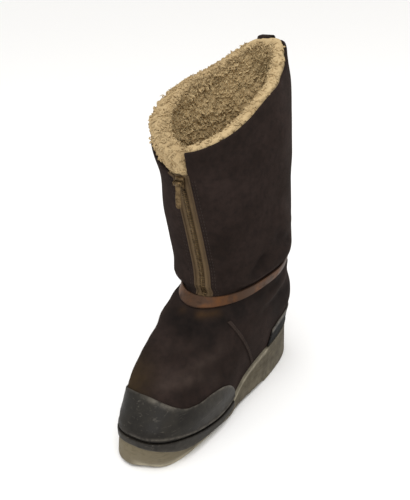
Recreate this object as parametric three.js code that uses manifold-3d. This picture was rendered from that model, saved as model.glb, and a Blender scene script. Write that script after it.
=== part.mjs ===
// A fleece-lined flying boot for the right foot: wedge rubber sole, suede upper with a front zip,
// rubber toe cap, foxing and heel counter, and a buckled ankle strap.
// Millimetres, +Z up. The toe points to -Y and the inner (big-toe) side to +X. The sole stands on Z = 0.

import * as THREE from "three";
import { mergeVertices } from "three/addons/utils/BufferGeometryUtils.js";
import Module from "manifold-3d";

const wasm = await Module();
wasm.setup();

// Driving dimensions
const WALL = 3; // suede hide of the upper
const FLEECE = 8; // wool pile on the inside of the hide
const GAP = 0.3; // clearance between neighbouring pieces
const LINING_GAP = 1.2; // the pile's coarser facets keep this far off the hide
const LEDGE = 2; // the sole's edge stands this far outside the upper
const INSOLE = 3;
const RUBBER = 2; // toe cap, foxing and counter sheet
const STRAP_WIDTH = 13;
const STRAP_THICK = 2.5;
const STRAP_SINK = 5; // depth of the trough that the strap pulls into the upper
const ZIP_HALF_SLOT = 9;
const ZIP_FOOT = 148; // height of the lower end of the zip
const ZIP_HEAD = 288; // height of the upper end of the zip
const TOOTH_PITCH = 8;
const TOOTH_LENGTH = 3.4;
const COLLAR_FRONT = { y: -46, z: 317 };
const COLLAR_BACK = { y: 150, z: 403 };
const FLEECE_STAND = 2; // the pile stands this far above the cut edge of the hide
const ORIGIN = { x: -2.5, y: 2 }; // centre of the boot's plan box, which becomes the part's origin

// The last: one row per level section.
// back and front are where the section ends along Y. The other widths are half widths from the section's
// middle line: heel, then waist and ball on the inner and the outer side.
// backRound and frontRound are superellipse exponents, 1 for an ellipse and less for a blunter end.
// shift moves the middle line sideways, towards +X.
const LAST_COLUMNS = [
  "z", "back", "front", "heel", "waistIn", "waistOut", "ballIn", "ballOut",
  "backRound", "frontRound", "shift",
];
const LAST_ROWS = [
  [0, 145, -144, 37, 38, 41, 44, 43, 0.66, 0.68, 0],
  [30, 148.5, -148, 39.5, 41, 44, 48, 46.5, 0.66, 0.68, 0],
  [42, 150, -147.5, 41, 42.5, 45.5, 49.5, 48, 0.66, 0.72, 0],
  [50, 151.5, -141, 42, 44, 47, 49.5, 49, 0.67, 0.8, 0],
  [57, 152.5, -130, 43, 45, 48, 49.5, 49.5, 0.68, 0.88, 0],
  [65, 153.5, -116, 43.5, 46, 49, 49.5, 50, 0.69, 0.94, 0],
  [82, 154, -92, 44, 47, 50, 49, 51, 0.7, 0.98, 0],
  [104, 153, -66, 44, 48, 51.5, 48, 52, 0.72, 1, 0],
  [124, 150, -44, 45, 49, 52.5, 48.5, 52.5, 0.76, 0.98, 1],
  [138, 148.5, -28, 47, 51, 53.5, 50, 53, 0.8, 0.95, 2],
  [150, 148, -20, 50, 55, 55.5, 53, 53.5, 0.84, 0.92, 2.5],
  [168, 148.5, -18, 54, 57.5, 57, 55, 54, 0.88, 0.9, 2],
  [205, 150, -23, 57, 60, 59.5, 57, 56, 0.9, 0.9, 1],
  [260, 150.5, -34, 58.5, 61, 61, 58, 57.5, 0.9, 0.9, -1],
  [320, 151, -46, 59.5, 61.5, 62, 59, 59, 0.9, 0.9, -3],
  [440, 151.5, -68, 61, 63, 64, 61, 61, 0.9, 0.9, -5],
];
const HEIGHTS = [
  2, 22, 32, 40, 46, 52, 58, 65, 75, 88, 102, 116, 127, 136, 146, 158, 175, 210, 260, 320, 440,
];
const TOE_SWING = 7; // the toe tip leans this far towards the inner side
const SWING_FROM = -20; // Y where the lean starts
const SWING_LENGTH = 130;
const COLUMNS = 38; // facets around the boot
const FLEECE_COLUMNS = 24;
const FLEECE_HEIGHTS = [2, 28, 42, 54, 68, 90, 112, 130, 146, 164, 200, 245, 290, 335, 380, 440];

// Side view of the sole, as Y and Z: the bed that the upper stands on, and the tread.
const BED_COLUMNS = ["y", "z"];
const BED_ROWS = [
  [-165, 39], [-150, 36.5], [-135, 33.5], [-118, 29.5], [-98, 24], [-75, 19], [-52, 16], [-32, 15.5],
  [-16, 18.5], [-2, 26], [12, 33], [30, 38.5], [50, 42], [100, 44.5], [165, 46],
];
const TREAD_ROWS = [
  [-165, 8], [-152, 4], [-141, 1.2], [-130, 0], [-24, 0], [-12, 2.4], [4, 3.4], [36, 3.4], [52, 2.4],
  [60, 0], [138, 0], [148, 1.8], [165, 7],
];
const SOLE_RINGS = [{ z: -2, inset: 2 }, { z: 2.5, inset: 0.3 }, { z: 8, inset: 0 }, { z: 70, inset: 0 }];

// Tables are read with a monotone cubic, so that the form runs smoothly and never overshoots a row.
function readTable(rows, columns, name, at) {
  const key = columns.indexOf(name);
  let i = rows.findIndex((row) => row[0] > at) - 1;
  if (i < 0) i = at <= rows[0][0] ? 0 : rows.length - 2;
  const step = (k) => rows[k + 1][0] - rows[k][0];
  const slope = (k) => (rows[k + 1][key] - rows[k][key]) / step(k);
  const tangent = (k) => {
    if (k === 0) return slope(0);
    if (k === rows.length - 1) return slope(k - 1);
    const before = slope(k - 1);
    const after = slope(k);
    return before * after <= 0 ? 0 : (2 * before * after) / (before + after);
  };
  const t = THREE.MathUtils.clamp((at - rows[i][0]) / step(i), 0, 1);
  const rise = rows[i + 1][key] - rows[i][key];
  const a = tangent(i) * step(i);
  const b = tangent(i + 1) * step(i);
  return rows[i][key] + a * t + (3 * rise - 2 * a - b) * t * t + (a + b - 2 * rise) * t ** 3;
}

const bedHeight = (y) => readTable(BED_ROWS, BED_COLUMNS, "z", y);
const span = (from, to, count) =>
  Array.from({ length: count + 1 }, (_, i) => from + ((to - from) * i) / count);
const signedPower = (base, power) => Math.sign(base) * Math.abs(base) ** power;

// Line of the ankle strap and of the collar, as heights over Y.
const STRAP_FRONT = { y: -22, z: 138 };
const STRAP_BACK = { y: 146, z: 155 };
const lineThrough = (a, b) => (y) => a.z + ((b.z - a.z) * (y - a.y)) / (b.y - a.y);
const strapHeight = lineThrough(STRAP_FRONT, STRAP_BACK);
const collarHeight = lineThrough(COLLAR_FRONT, COLLAR_BACK);

// How far the strap has drawn the upper in at one place.
const TROUGH_FLAT = STRAP_WIDTH / 2 + 1;
const TROUGH_SHOULDER = 11;
function strapTrough(y, z) {
  const away = Math.abs(z - strapHeight(y));
  return STRAP_SINK * (1 - THREE.MathUtils.smoothstep(away, TROUGH_FLAT, TROUGH_FLAT + TROUGH_SHOULDER));
}

// One level section of the last. The angle runs from the heel (0) over the inner side to the toe (PI)
// and back over the outer side.
const HEEL_TO_WAIST = [0.16, 0.46];
const WAIST_TO_BALL = [0.44, 0.7];
function lastPoint(angle, z) {
  const at = (name) => readTable(LAST_ROWS, LAST_COLUMNS, name, z);
  const [back, front] = [at("back"), at("front")];
  const [c, s] = [Math.cos(angle), Math.sin(angle)];
  const round = c > 0 ? at("backRound") : at("frontRound");
  const y = (back + front) / 2 + ((back - front) / 2) * signedPower(c, round);
  const along = (back - y) / (back - front);
  const side = s >= 0 ? "In" : "Out";
  const waist = at("waist" + side);
  const width =
    at("heel") +
    (waist - at("heel")) * THREE.MathUtils.smoothstep(along, ...HEEL_TO_WAIST) +
    (at("ball" + side) - waist) * THREE.MathUtils.smoothstep(along, ...WAIST_TO_BALL);
  const lean = TOE_SWING * Math.max(0, (SWING_FROM - y) / SWING_LENGTH) ** 2;
  const x = width * signedPower(s, round) + at("shift") + lean;
  const sunk = strapTrough(y, z);
  const middle = (back + front) / 2;
  const reach = Math.hypot(x, y - middle) || 1;
  return new THREE.Vector3(x - (sunk * x) / reach, y - (sunk * (y - middle)) / reach, z);
}

const PROBE_ANGLE = 0.03;
const PROBE_HEIGHT = 1.5;
function lastNormal(angle, z) {
  const around = lastPoint(angle + PROBE_ANGLE, z).sub(lastPoint(angle - PROBE_ANGLE, z));
  const up = lastPoint(angle, z + PROBE_HEIGHT).sub(lastPoint(angle, z - PROBE_HEIGHT));
  return up.cross(around).normalize();
}

// Angles that divide the outline of the foot evenly, with more of them where it turns.
const OUTLINE_HEIGHT = 40;
const TURN_LENGTH = 45; // a turn of one radian counts as this much length
function evenAngles(count) {
  const fine = 720;
  const outline = span(0, Math.PI, fine).map((angle) => lastPoint(angle, OUTLINE_HEIGHT));
  const edges = outline.slice(1).map((point, i) => point.clone().sub(outline[i]));
  const lengths = [0];
  for (let i = 1; i <= fine; i++) {
    const turn = i > 1 ? edges[i - 1].angleTo(edges[i - 2]) : 0;
    lengths.push(lengths[i - 1] + edges[i - 1].length() + TURN_LENGTH * turn);
  }
  const half = count / 2;
  const angles = [];
  for (let k = 0; k < half; k++) {
    const i = lengths.findIndex((length) => length >= (lengths[fine] * k) / half);
    angles.push((Math.PI * i) / fine);
  }
  return [...angles, Math.PI, ...angles.slice(1).reverse().map((angle) => 2 * Math.PI - angle)];
}

// Solids
function solidFrom(geometry) {
  const bare = geometry.clone();
  bare.deleteAttribute("normal");
  bare.deleteAttribute("uv");
  const merged = mergeVertices(bare, 1e-4);
  const solid = new wasm.Manifold(
    new wasm.Mesh({
      numProp: 3,
      vertProperties: new Float32Array(merged.attributes.position.array),
      triVerts: new Uint32Array(merged.index.array),
    }),
  );
  return solid;
}

function geometryFrom(solid) {
  const mesh = solid.getMesh();
  const geometry = new THREE.BufferGeometry();
  geometry.setAttribute("position", new THREE.BufferAttribute(new Float32Array(mesh.vertProperties), 3));
  geometry.setIndex(new THREE.BufferAttribute(new Uint32Array(mesh.triVerts), 1));
  const flat = geometry.toNonIndexed();
  flat.computeVertexNormals();
  return flat;
}

// A closed solid through rings of points, each ring running the same way round, from low to high.
function ringSolid(rings) {
  const count = rings[0].length;
  const points = rings.flat();
  const faces = [];
  const at = (ring, k) => ring * count + (k % count);
  for (let r = 0; r + 1 < rings.length; r++) {
    for (let k = 0; k < count; k++) {
      faces.push(at(r, k), at(r + 1, k), at(r, k + 1), at(r, k + 1), at(r + 1, k), at(r + 1, k + 1));
    }
  }
  const top = rings.length - 1;
  for (let k = 0; k < count / 2; k++) {
    const twin = (n) => (count - n) % count;
    const bands = [[at(0, k), at(0, k + 1), at(0, twin(k + 1)), at(0, twin(k))]];
    bands.push([at(top, twin(k)), at(top, twin(k + 1)), at(top, k + 1), at(top, k)]);
    for (const [a, b, c, d] of bands) {
      if (a !== d) faces.push(a, c, d);
      if (b !== c) faces.push(a, b, c);
    }
  }
  const geometry = new THREE.BufferGeometry();
  const flat = points.flatMap((p) => [p.x, p.y, p.z]);
  geometry.setAttribute("position", new THREE.BufferAttribute(new Float32Array(flat), 3));
  geometry.setIndex(faces);
  return solidFrom(geometry);
}

// The whole last, grown or shrunk along its own normals.
const BOOT_ANGLES = evenAngles(COLUMNS);
const offLast = (angle, z, offset) => lastPoint(angle, z).addScaledVector(lastNormal(angle, z), offset);
function form(offset) {
  return ringSolid(HEIGHTS.map((z) => BOOT_ANGLES.map((angle) => offLast(angle, z, offset))));
}

// A prism right through the boot, cut from a pattern drawn in the side view (Y, Z)
// or in the front view (X, Z).
const REACH = 260;
function sidePattern(outline, from = -REACH, to = REACH) {
  const shape = new THREE.Shape(outline.map(([y, z]) => new THREE.Vector2(y, z)));
  const prism = new THREE.ExtrudeGeometry(shape, { depth: to - from, bevelEnabled: false });
  prism.applyMatrix4(new THREE.Matrix4().set(0, 0, 1, from, 1, 0, 0, 0, 0, 1, 0, 0, 0, 0, 0, 1));
  return solidFrom(prism);
}
function frontPattern(outline, from = -REACH, to = REACH) {
  const shape = new THREE.Shape(outline.map(([x, z]) => new THREE.Vector2(x, z)));
  const prism = new THREE.ExtrudeGeometry(shape, { depth: to - from, bevelEnabled: false });
  prism.applyMatrix4(new THREE.Matrix4().set(1, 0, 0, 0, 0, 0, -1, to, 0, 1, 0, 0, 0, 0, 0, 1));
  return solidFrom(prism);
}

// Everything above the bed of the sole, and everything under the collar line.
const BED_END = 165;
const BED_STEPS = 33;
const bedLine = (lift) => span(-BED_END, BED_END, BED_STEPS).map((y) => [y, bedHeight(y) + lift]);
function aboveBed(lift) {
  return sidePattern([...bedLine(lift), [BED_END, REACH * 2], [-BED_END, REACH * 2]]);
}
const COLLAR_SAG = 11; // the outer side of the collar hangs this far below the straight line
const COLLAR_STEPS = 10;
function collarSag(y) {
  const along = THREE.MathUtils.mapLinear(y, COLLAR_FRONT.y, COLLAR_BACK.y, 0, 1);
  return COLLAR_SAG * Math.sin(Math.PI * along) ** 2;
}
function underCollar(lift) {
  const inner = [-REACH, REACH].map((y) => [y, collarHeight(y) + lift]);
  const ys = span(COLLAR_FRONT.y, COLLAR_BACK.y, COLLAR_STEPS);
  const outer = [inner[0], ...ys.map((y) => [y, collarHeight(y) + lift - collarSag(y)]), inner[1]];
  const floor = [[-REACH, -REACH], [REACH, -REACH]];
  const half = (edge, from, to) => sidePattern([...floor, ...edge.reverse()], from, to);
  return half(inner, 0, REACH).add(half(outer, -REACH, 0));
}

// The zip leans a little from the ankle to the collar, and the flaps part above it.
const ZIP_LEAN = { foot: 5, head: 0 };
const zipMiddle = (z) => THREE.MathUtils.mapLinear(z, ZIP_FOOT, ZIP_HEAD, ZIP_LEAN.foot, ZIP_LEAN.head);
const zipStrip = (half, from, to) => [
  [zipMiddle(from) - half, from], [zipMiddle(from) + half, from],
  [zipMiddle(to) + half, to], [zipMiddle(to) - half, to],
];
const FLAP = { inner: 3, outer: 24, top: 345 };
const notchPattern = [
  [zipMiddle(ZIP_HEAD) - ZIP_HALF_SLOT, ZIP_HEAD], [zipMiddle(ZIP_HEAD) + ZIP_HALF_SLOT, ZIP_HEAD],
  [zipMiddle(ZIP_HEAD) + ZIP_HALF_SLOT + FLAP.inner, FLAP.top],
  [zipMiddle(ZIP_HEAD) - ZIP_HALF_SLOT - FLAP.outer, FLAP.top],
];
const SHAFT_FRONT = [-REACH, 30]; // the zip's patterns cut the front wall alone
const zipNotch = frontPattern(notchPattern, ...SHAFT_FRONT);

const hideOutside = form(0);
const hideInside = form(-WALL);
const insideHide = form(-WALL - GAP);
const overlayInside = form(GAP);

// Upper: one hollow hide, slit in front for the zip.
function makeUpper() {
  const slit = frontPattern(zipStrip(ZIP_HALF_SLOT, ZIP_FOOT, ZIP_HEAD + 1), ...SHAFT_FRONT);
  return hideOutside
    .subtract(hideInside)
    .intersect(aboveBed(GAP))
    .intersect(underCollar(0))
    .subtract(slit)
    .subtract(zipNotch);
}

// Lining: pile with locks raised on its inner face.
const LOCK = { height: 1.6, around: 23, up: 0.29, drift: 0.11 };
function makeFleece() {
  const angles = evenAngles(FLEECE_COLUMNS);
  const lock = (angle, z) =>
    LOCK.height * Math.sin(LOCK.around * angle + LOCK.drift * z) * Math.sin(LOCK.up * z);
  const outward = () => -(WALL + LINING_GAP);
  const inward = (angle, z) => -(WALL + LINING_GAP + FLEECE) + lock(angle, z);
  const ring = (depth) => (z) => angles.map((angle) => offLast(angle, z, depth(angle, z)));
  return ringSolid(FLEECE_HEIGHTS.map(ring(outward)))
    .subtract(ringSolid(FLEECE_HEIGHTS.map(ring(inward))))
    .intersect(insideHide)
    .intersect(aboveBed(INSOLE + 3 * GAP))
    .intersect(underCollar(FLEECE_STAND))
    .subtract(zipNotch);
}

// Sole: the outline of the upper with a ledge, cut to its side view.
const EDGE_TRIES = 6; // the bed's height and the last's outline there settle in a few turns
function soleOutline(inset) {
  return BOOT_ANGLES.map((angle) => {
    let z = OUTLINE_HEIGHT;
    for (let i = 0; i < EDGE_TRIES; i++) z = bedHeight(lastPoint(angle, z).y);
    const edge = lastPoint(angle, z);
    const out = lastNormal(angle, z).setZ(0).normalize();
    return edge.addScaledVector(out, LEDGE - inset);
  });
}
function makeOutsole() {
  const rings = SOLE_RINGS.map(({ z, inset }) => soleOutline(inset).map((p) => p.setZ(z)));
  return ringSolid(rings).intersect(sidePattern([...TREAD_ROWS, ...bedLine(0).reverse()]));
}
function makeInsole() {
  return insideHide.intersect(aboveBed(GAP)).subtract(aboveBed(GAP + INSOLE));
}

// Foxing: a strip round the front of the sole, just under the toe cap. Its lower edge, as Y and Z.
const FOXING_ROWS = [
  [-165, 32], [-150, 29], [-138, 24.5], [-124, 18.5], [-104, 13], [-80, 10], [-50, 8.5], [-28, 8.5],
  [-16, 12],
];
const FOXING_BACK = -16;
const FOXING_STEPS = 14;
const BED_TOP = 80; // clear above the highest place of the bed
function makeFoxing() {
  const rings = (out) => [0, BED_TOP].map((z) => soleOutline(-out).map((p) => p.setZ(z)));
  const shell = ringSolid(rings(GAP + RUBBER)).subtract(ringSolid(rings(GAP)));
  const top = span(-BED_END, FOXING_BACK, FOXING_STEPS).map((y) => [y, bedHeight(y) - GAP]);
  return shell.intersect(sidePattern([...FOXING_ROWS, ...top.reverse()]));
}

// Overlays cut from a sheet that follows the upper.
const sheet = (thick) => form(GAP + thick).subtract(overlayInside);
const CAP_EDGE = [
  [-12, 26], [-20, 38], [-32, 48.5], [-46, 53.5], [-62, 54.5], [-82, 53.5], [-98, 54.5], [-108, 58],
  [-115, 64], [-118, 76],
];
const CAP_LIFT = 1.2;
function makeToeCap() {
  const pattern = [...CAP_EDGE, [-REACH, 76], [-REACH, 0], [-12, 0]];
  return sheet(RUBBER).intersect(sidePattern(pattern)).intersect(aboveBed(CAP_LIFT));
}
const COUNTER_EDGE = [[68, 40], [75, 65], [112, 69], [REACH, 78]];
function makeHeelCounter() {
  const pattern = [[68, 30], [REACH, 30], ...COUNTER_EDGE.reverse()];
  return sheet(RUBBER).intersect(sidePattern(pattern)).intersect(aboveBed(CAP_LIFT));
}
const SEAM = { thick: 1, width: 5 };
const SEAM_LINE = [[-16, 118], [-6, 100], [4, 81], [13, 65], [21, 52], [26, 43]];
function makeSideSeam(inner) {
  const [from, to] = inner ? [0, REACH] : [-REACH, 0];
  const behind = SEAM_LINE.map(([y, z]) => [y + SEAM.width, z]);
  const band = [...behind, ...[...SEAM_LINE].reverse()];
  return sheet(SEAM.thick).intersect(sidePattern(band, from, to));
}

// Ankle strap, drawn as a band in the side view. Buckle, tail and keeper lie on its outer side.
// The band is lower over the instep, where the upper slopes, so that the strap keeps one width.
const INSTEP = { from: 30, to: -20, share: 0.76 };
const overInstep = (y) => THREE.MathUtils.smoothstep(-y, -INSTEP.from, -INSTEP.to);
const instepShare = (y) => 1 - (1 - INSTEP.share) * overInstep(y);
const STRAP_STEPS = 8;
function strapBand(half, from, to) {
  const ys = [from, ...span(INSTEP.to, INSTEP.from, STRAP_STEPS).filter((y) => y > from && y < to), to];
  const low = ys.map((y) => [y, strapHeight(y) - half * instepShare(y)]);
  const high = ys.map((y) => [y, strapHeight(y) + half * instepShare(y)]);
  return [...low, ...high.reverse()];
}
const STRAP_OUT = GAP + STRAP_THICK;
function makeStrap() {
  return sheet(STRAP_THICK).intersect(sidePattern(strapBand(STRAP_WIDTH / 2, -REACH, REACH)));
}
const OUTER_SIDE = [-REACH, -20]; // only the outer side of the boot, in X
const BUCKLE = { y: 48, length: 22, height: 20, bar: 2.6, thick: 2.2 };
const TAIL = { length: 46, tip: 8, thick: 2.2 };
const KEEPER = { y: 82, length: 8, thick: 1.6, reach: 2.4 };
const TAIL_START = BUCKLE.y + BUCKLE.length / 2 + GAP;
const TAIL_END = TAIL_START + TAIL.length;
const outerShell = (from, to) => form(to).subtract(form(from));
function makeStrapTail() {
  const half = STRAP_WIDTH / 2;
  const tip = TAIL_END - TAIL.tip;
  const pattern = [
    [TAIL_START, strapHeight(TAIL_START) - half], [tip, strapHeight(tip) - half],
    [TAIL_END, strapHeight(TAIL_END)],
    [tip, strapHeight(tip) + half], [TAIL_START, strapHeight(TAIL_START) + half],
  ];
  const lift = STRAP_OUT + GAP;
  return outerShell(lift, lift + TAIL.thick).intersect(sidePattern(pattern, ...OUTER_SIDE));
}
function makeKeeper() {
  const under = STRAP_OUT + GAP + TAIL.thick + GAP;
  const [from, to] = [KEEPER.y - KEEPER.length / 2, KEEPER.y + KEEPER.length / 2];
  const block = sidePattern(strapBand(STRAP_WIDTH / 2 + KEEPER.reach, from, to), ...OUTER_SIDE);
  const tunnel = sidePattern(strapBand(STRAP_WIDTH / 2 + GAP, from - 1, to + 1), ...OUTER_SIDE);
  const bridge = outerShell(GAP, under + KEEPER.thick).intersect(block);
  return bridge.subtract(form(under).intersect(tunnel));
}
function makeBuckleFrame() {
  const [from, to] = [BUCKLE.y - BUCKLE.length / 2, BUCKLE.y + BUCKLE.length / 2];
  const ring = (grow) => strapBand(BUCKLE.height / 2 + grow, from - grow, to + grow);
  const lift = STRAP_OUT + GAP;
  return outerShell(lift, lift + BUCKLE.thick)
    .intersect(sidePattern(ring(0), ...OUTER_SIDE))
    .subtract(sidePattern(ring(-BUCKLE.bar), ...OUTER_SIDE));
}
const PRONG = { half: 1, thick: 1.8, short: 0.4 };
function makeBuckleProng() {
  const lift = STRAP_OUT + 2 * GAP + BUCKLE.thick;
  const from = BUCKLE.y - BUCKLE.length / 2 + PRONG.short;
  const to = BUCKLE.y + BUCKLE.length / 2 - PRONG.short;
  const pattern = sidePattern(strapBand(PRONG.half, from, to), ...OUTER_SIDE);
  return outerShell(lift, lift + PRONG.thick).intersect(pattern);
}

// Zip: tape sunk in the slit, a chain of teeth on it, and the slider at its head.
const TAPE = { out: -0.9, thick: 1.4 };
const SLIDER = { width: 11, height: 13, thick: 4.6, waist: 7.4, corner: 1.6 };
const CHAIN_HEAD = ZIP_HEAD - SLIDER.height - 1.5; // the teeth stop just under the slider
function makeZipTape() {
  const strip = frontPattern(zipStrip(ZIP_HALF_SLOT - GAP, ZIP_FOOT + GAP, ZIP_HEAD - GAP), ...SHAFT_FRONT);
  return form(TAPE.out).subtract(form(TAPE.out - TAPE.thick)).intersect(strip);
}
const CHAIN = { out: 1.1, spine: 1.1 };
function makeZipTeeth() {
  const start = ZIP_FOOT + 2;
  const count = Math.floor((CHAIN_HEAD - start) / TOOTH_PITCH);
  const right = [];
  const left = [];
  for (let i = 0; i < count; i++) {
    const z = start + i * TOOTH_PITCH;
    const comb = (side, lift) => {
      const low = z + lift;
      const high = low + TOOTH_PITCH / 2;
      const inner = (h) => zipMiddle(h) + side * CHAIN.spine;
      const outer = (h) => zipMiddle(h) + side * TOOTH_LENGTH;
      return [[inner(low), low], [outer(low), low], [outer(high), high], [inner(high), high]];
    };
    right.push(...comb(1, 0));
    left.push(...comb(-1, TOOTH_PITCH / 2));
  }
  const outline = frontPattern([...right, ...left.reverse()], ...SHAFT_FRONT);
  return form(CHAIN.out).subtract(form(TAPE.out + GAP)).intersect(outline);
}

// The slider is drawn flat, then set on the front of the shaft. Its pull tab hangs plumb from the pin.
const SLIDER_Z = ZIP_HEAD - SLIDER.height / 2 - 2 * GAP;
const TAB = { width: 7, length: 27, thick: 1.3, eye: 2.3, round: 3 };
const PIN = { radius: 1.1, ear: 1.2, lift: 2.8, drop: 1.5, root: 0.7, cover: 0.5 };
const frontPoint = (z) => lastPoint(Math.PI, z);
function sliderFrame() {
  const foot = frontPoint(SLIDER_Z);
  const rise = frontPoint(ZIP_HEAD).sub(frontPoint(ZIP_HEAD - 2 * SLIDER.height)).setX(0).normalize();
  const across = new THREE.Vector3(1, 0, 0);
  const basis = new THREE.Matrix4().makeBasis(across, rise, across.clone().cross(rise));
  return basis.setPosition(zipMiddle(SLIDER_Z), foot.y, foot.z);
}
const SLIDER_FRAME = sliderFrame();
const SLIDER_LIFT = TAPE.out + GAP; // the slider's back, against the tape
const SLIDER_FACE = SLIDER_LIFT + SLIDER.thick;
const PIN_CENTRE = new THREE.Vector3(0, PIN.drop, SLIDER_FACE + PIN.lift);
const ROD_SIDES = 12;
const crossRod = (radius, length) =>
  new THREE.CylinderGeometry(radius, radius, length, ROD_SIDES).rotateZ(Math.PI / 2);
function makeSlider() {
  const [w, n, h, c] = [SLIDER.width / 2, SLIDER.waist / 2, SLIDER.height / 2, SLIDER.corner];
  const half = [[n, -h], [w, h - 2 * c], [w, h - c], [w - c, h]];
  const outline = [...half, ...half.map(([x, y]) => [-x, y]).reverse()];
  const shape = new THREE.Shape(outline.map(([x, y]) => new THREE.Vector2(x, y)));
  const body = new THREE.ExtrudeGeometry(shape, { depth: SLIDER.thick, bevelEnabled: false });
  const pieces = [body.translate(0, 0, SLIDER_LIFT)];
  const earX = TAB.width / 2 + GAP + PIN.ear / 2;
  const [earFoot, earTop] = [SLIDER_FACE - PIN.root, PIN_CENTRE.z + PIN.radius + PIN.cover];
  for (const side of [-1, 1]) {
    const ear = new THREE.BoxGeometry(PIN.ear, 4 * PIN.radius, earTop - earFoot);
    pieces.push(ear.translate(side * earX, PIN.drop, (earFoot + earTop) / 2));
  }
  pieces.push(crossRod(PIN.radius, 2 * earX).translate(...PIN_CENTRE));
  return pieces.map((piece) => solidFrom(piece.applyMatrix4(SLIDER_FRAME))).reduce((a, b) => a.add(b));
}
function makePullTab() {
  const pin = PIN_CENTRE.clone().applyMatrix4(SLIDER_FRAME);
  const [half, end] = [TAB.width / 2, -TAB.length];
  const side = [[half, 0], [half, end + TAB.round], [half - TAB.round, end]];
  const whole = [...side.map(([x, z]) => [-x, z]), ...side.reverse()];
  const outline = whole.map(([x, z]) => [x + pin.x, z + pin.z]);
  const blade = frontPattern(outline, pin.y - TAB.thick / 2, pin.y + TAB.thick / 2);
  const eye = solidFrom(crossRod(TAB.eye, TAB.width).translate(...pin));
  const hole = solidFrom(crossRod(PIN.radius + GAP, TAB.width + 2).translate(...pin));
  return eye.add(blade).subtract(hole);
}

// Pull loop: a strip folded over the collar at the back.
// clear keeps it off the collar, and bow is how far the collar's inside curves away across its width.
const LOOP = { width: 16, thick: 1.6, outside: 24, inside: 18, rise: 0.5, clear: 0.6, bow: 0.9 };
function makePullLoop() {
  const rimY = lastPoint(0, COLLAR_BACK.z).y;
  const top = COLLAR_BACK.z + FLEECE_STAND + LOOP.rise;
  const out = rimY + LOOP.clear;
  const inn = rimY - WALL - LINING_GAP - FLEECE - LOCK.height - LOOP.clear - LOOP.bow;
  const t = LOOP.thick;
  const outline = [
    [out, COLLAR_BACK.z - LOOP.outside], [out + t, COLLAR_BACK.z - LOOP.outside], [out + t, top - t],
    [out - t, top + t], [inn + t, top + t], [inn - t, top - t], [inn - t, COLLAR_BACK.z - LOOP.inside],
    [inn, COLLAR_BACK.z - LOOP.inside], [inn, top - t - 1], [inn + t, top],
    [out - t, top], [out, top - t - 1],
  ];
  const shift = readTable(LAST_ROWS, LAST_COLUMNS, "shift", COLLAR_BACK.z);
  return sidePattern(outline, shift - LOOP.width / 2, shift + LOOP.width / 2);
}

// Scene graph
const finish = (color, roughness, metalness = 0) =>
  new THREE.MeshStandardMaterial({ color, roughness, metalness });
const SUEDE = finish(0x2e2421, 0.95);
const BLACK_RUBBER = finish(0x34312e, 0.6);
const SOLE_RUBBER = finish(0x6e6654, 0.85);
const TAN_LEATHER = finish(0x6a4a38, 0.6);
const WOOL = finish(0xb9a67e, 1);
const TAPE_CLOTH = finish(0x5a4632, 0.9);
const DULL_METAL = finish(0x8a8378, 0.45, 0.9);

const PIECES = [
  ["outsole", makeOutsole, SOLE_RUBBER],
  ["foxing", makeFoxing, BLACK_RUBBER],
  ["insole", makeInsole, TAN_LEATHER],
  ["upper", makeUpper, SUEDE],
  ["fleece_lining", makeFleece, WOOL],
  ["toe_cap", makeToeCap, BLACK_RUBBER],
  ["heel_counter", makeHeelCounter, BLACK_RUBBER],
  ["side_seam_inner", () => makeSideSeam(true), SUEDE],
  ["side_seam_outer", () => makeSideSeam(false), SUEDE],
  ["ankle_strap", makeStrap, TAN_LEATHER],
  ["strap_tail", makeStrapTail, TAN_LEATHER],
  ["strap_keeper", makeKeeper, TAN_LEATHER],
  ["buckle_frame", makeBuckleFrame, DULL_METAL],
  ["buckle_prong", makeBuckleProng, DULL_METAL],
  ["zip_tape", makeZipTape, TAPE_CLOTH],
  ["zip_teeth", makeZipTeeth, DULL_METAL],
  ["zip_slider", makeSlider, DULL_METAL],
  ["zip_pull", makePullTab, DULL_METAL],
  ["pull_loop", makePullLoop, SUEDE],
];

const boot = new THREE.Group();
for (const [name, make, material] of PIECES) {
  const mesh = new THREE.Mesh(geometryFrom(make()), material);
  mesh.name = name;
  boot.add(mesh);
}
boot.position.set(-ORIGIN.x, -ORIGIN.y, 0);

export default boot;
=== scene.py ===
# %% [markdown]
# # Dressing a fleece-lined flying boot
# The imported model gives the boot's solids at their real size. This lesson keeps that frame and makes the
# surfaces that the eye sees: napped suede, black rubber guards, a dusty wedge sole, curly wool and a zip.
# The solids never move. Each new piece rides on the body of the solid that it stands for.

# %% Load the frame
import math

import bmesh
import bpy
import numpy as np
from mathutils import Matrix, Vector, noise


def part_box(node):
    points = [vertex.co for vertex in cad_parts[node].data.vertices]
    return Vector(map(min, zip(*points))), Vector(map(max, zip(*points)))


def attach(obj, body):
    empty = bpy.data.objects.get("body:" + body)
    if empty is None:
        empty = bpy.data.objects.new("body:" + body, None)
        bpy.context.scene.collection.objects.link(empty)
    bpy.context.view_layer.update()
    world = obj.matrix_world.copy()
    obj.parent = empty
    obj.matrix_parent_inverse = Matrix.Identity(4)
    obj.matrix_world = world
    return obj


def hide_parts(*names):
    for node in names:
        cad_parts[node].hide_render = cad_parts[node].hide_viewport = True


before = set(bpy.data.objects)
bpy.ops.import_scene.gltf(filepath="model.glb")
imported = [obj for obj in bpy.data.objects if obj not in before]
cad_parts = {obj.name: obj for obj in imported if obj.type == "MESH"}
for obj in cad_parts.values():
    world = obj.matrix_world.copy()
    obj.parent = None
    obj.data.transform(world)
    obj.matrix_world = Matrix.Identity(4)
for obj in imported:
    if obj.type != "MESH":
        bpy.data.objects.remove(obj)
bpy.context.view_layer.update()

# %% [markdown]
# The camera comes first, because everything is judged through it. It looks from the photograph's direction,
# from about 0.8 m away and half a metre up. It could take in a wide stretch of floor too, but aimed at the
# middle of the boot with a longer lens, it shows the boot large.

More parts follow.
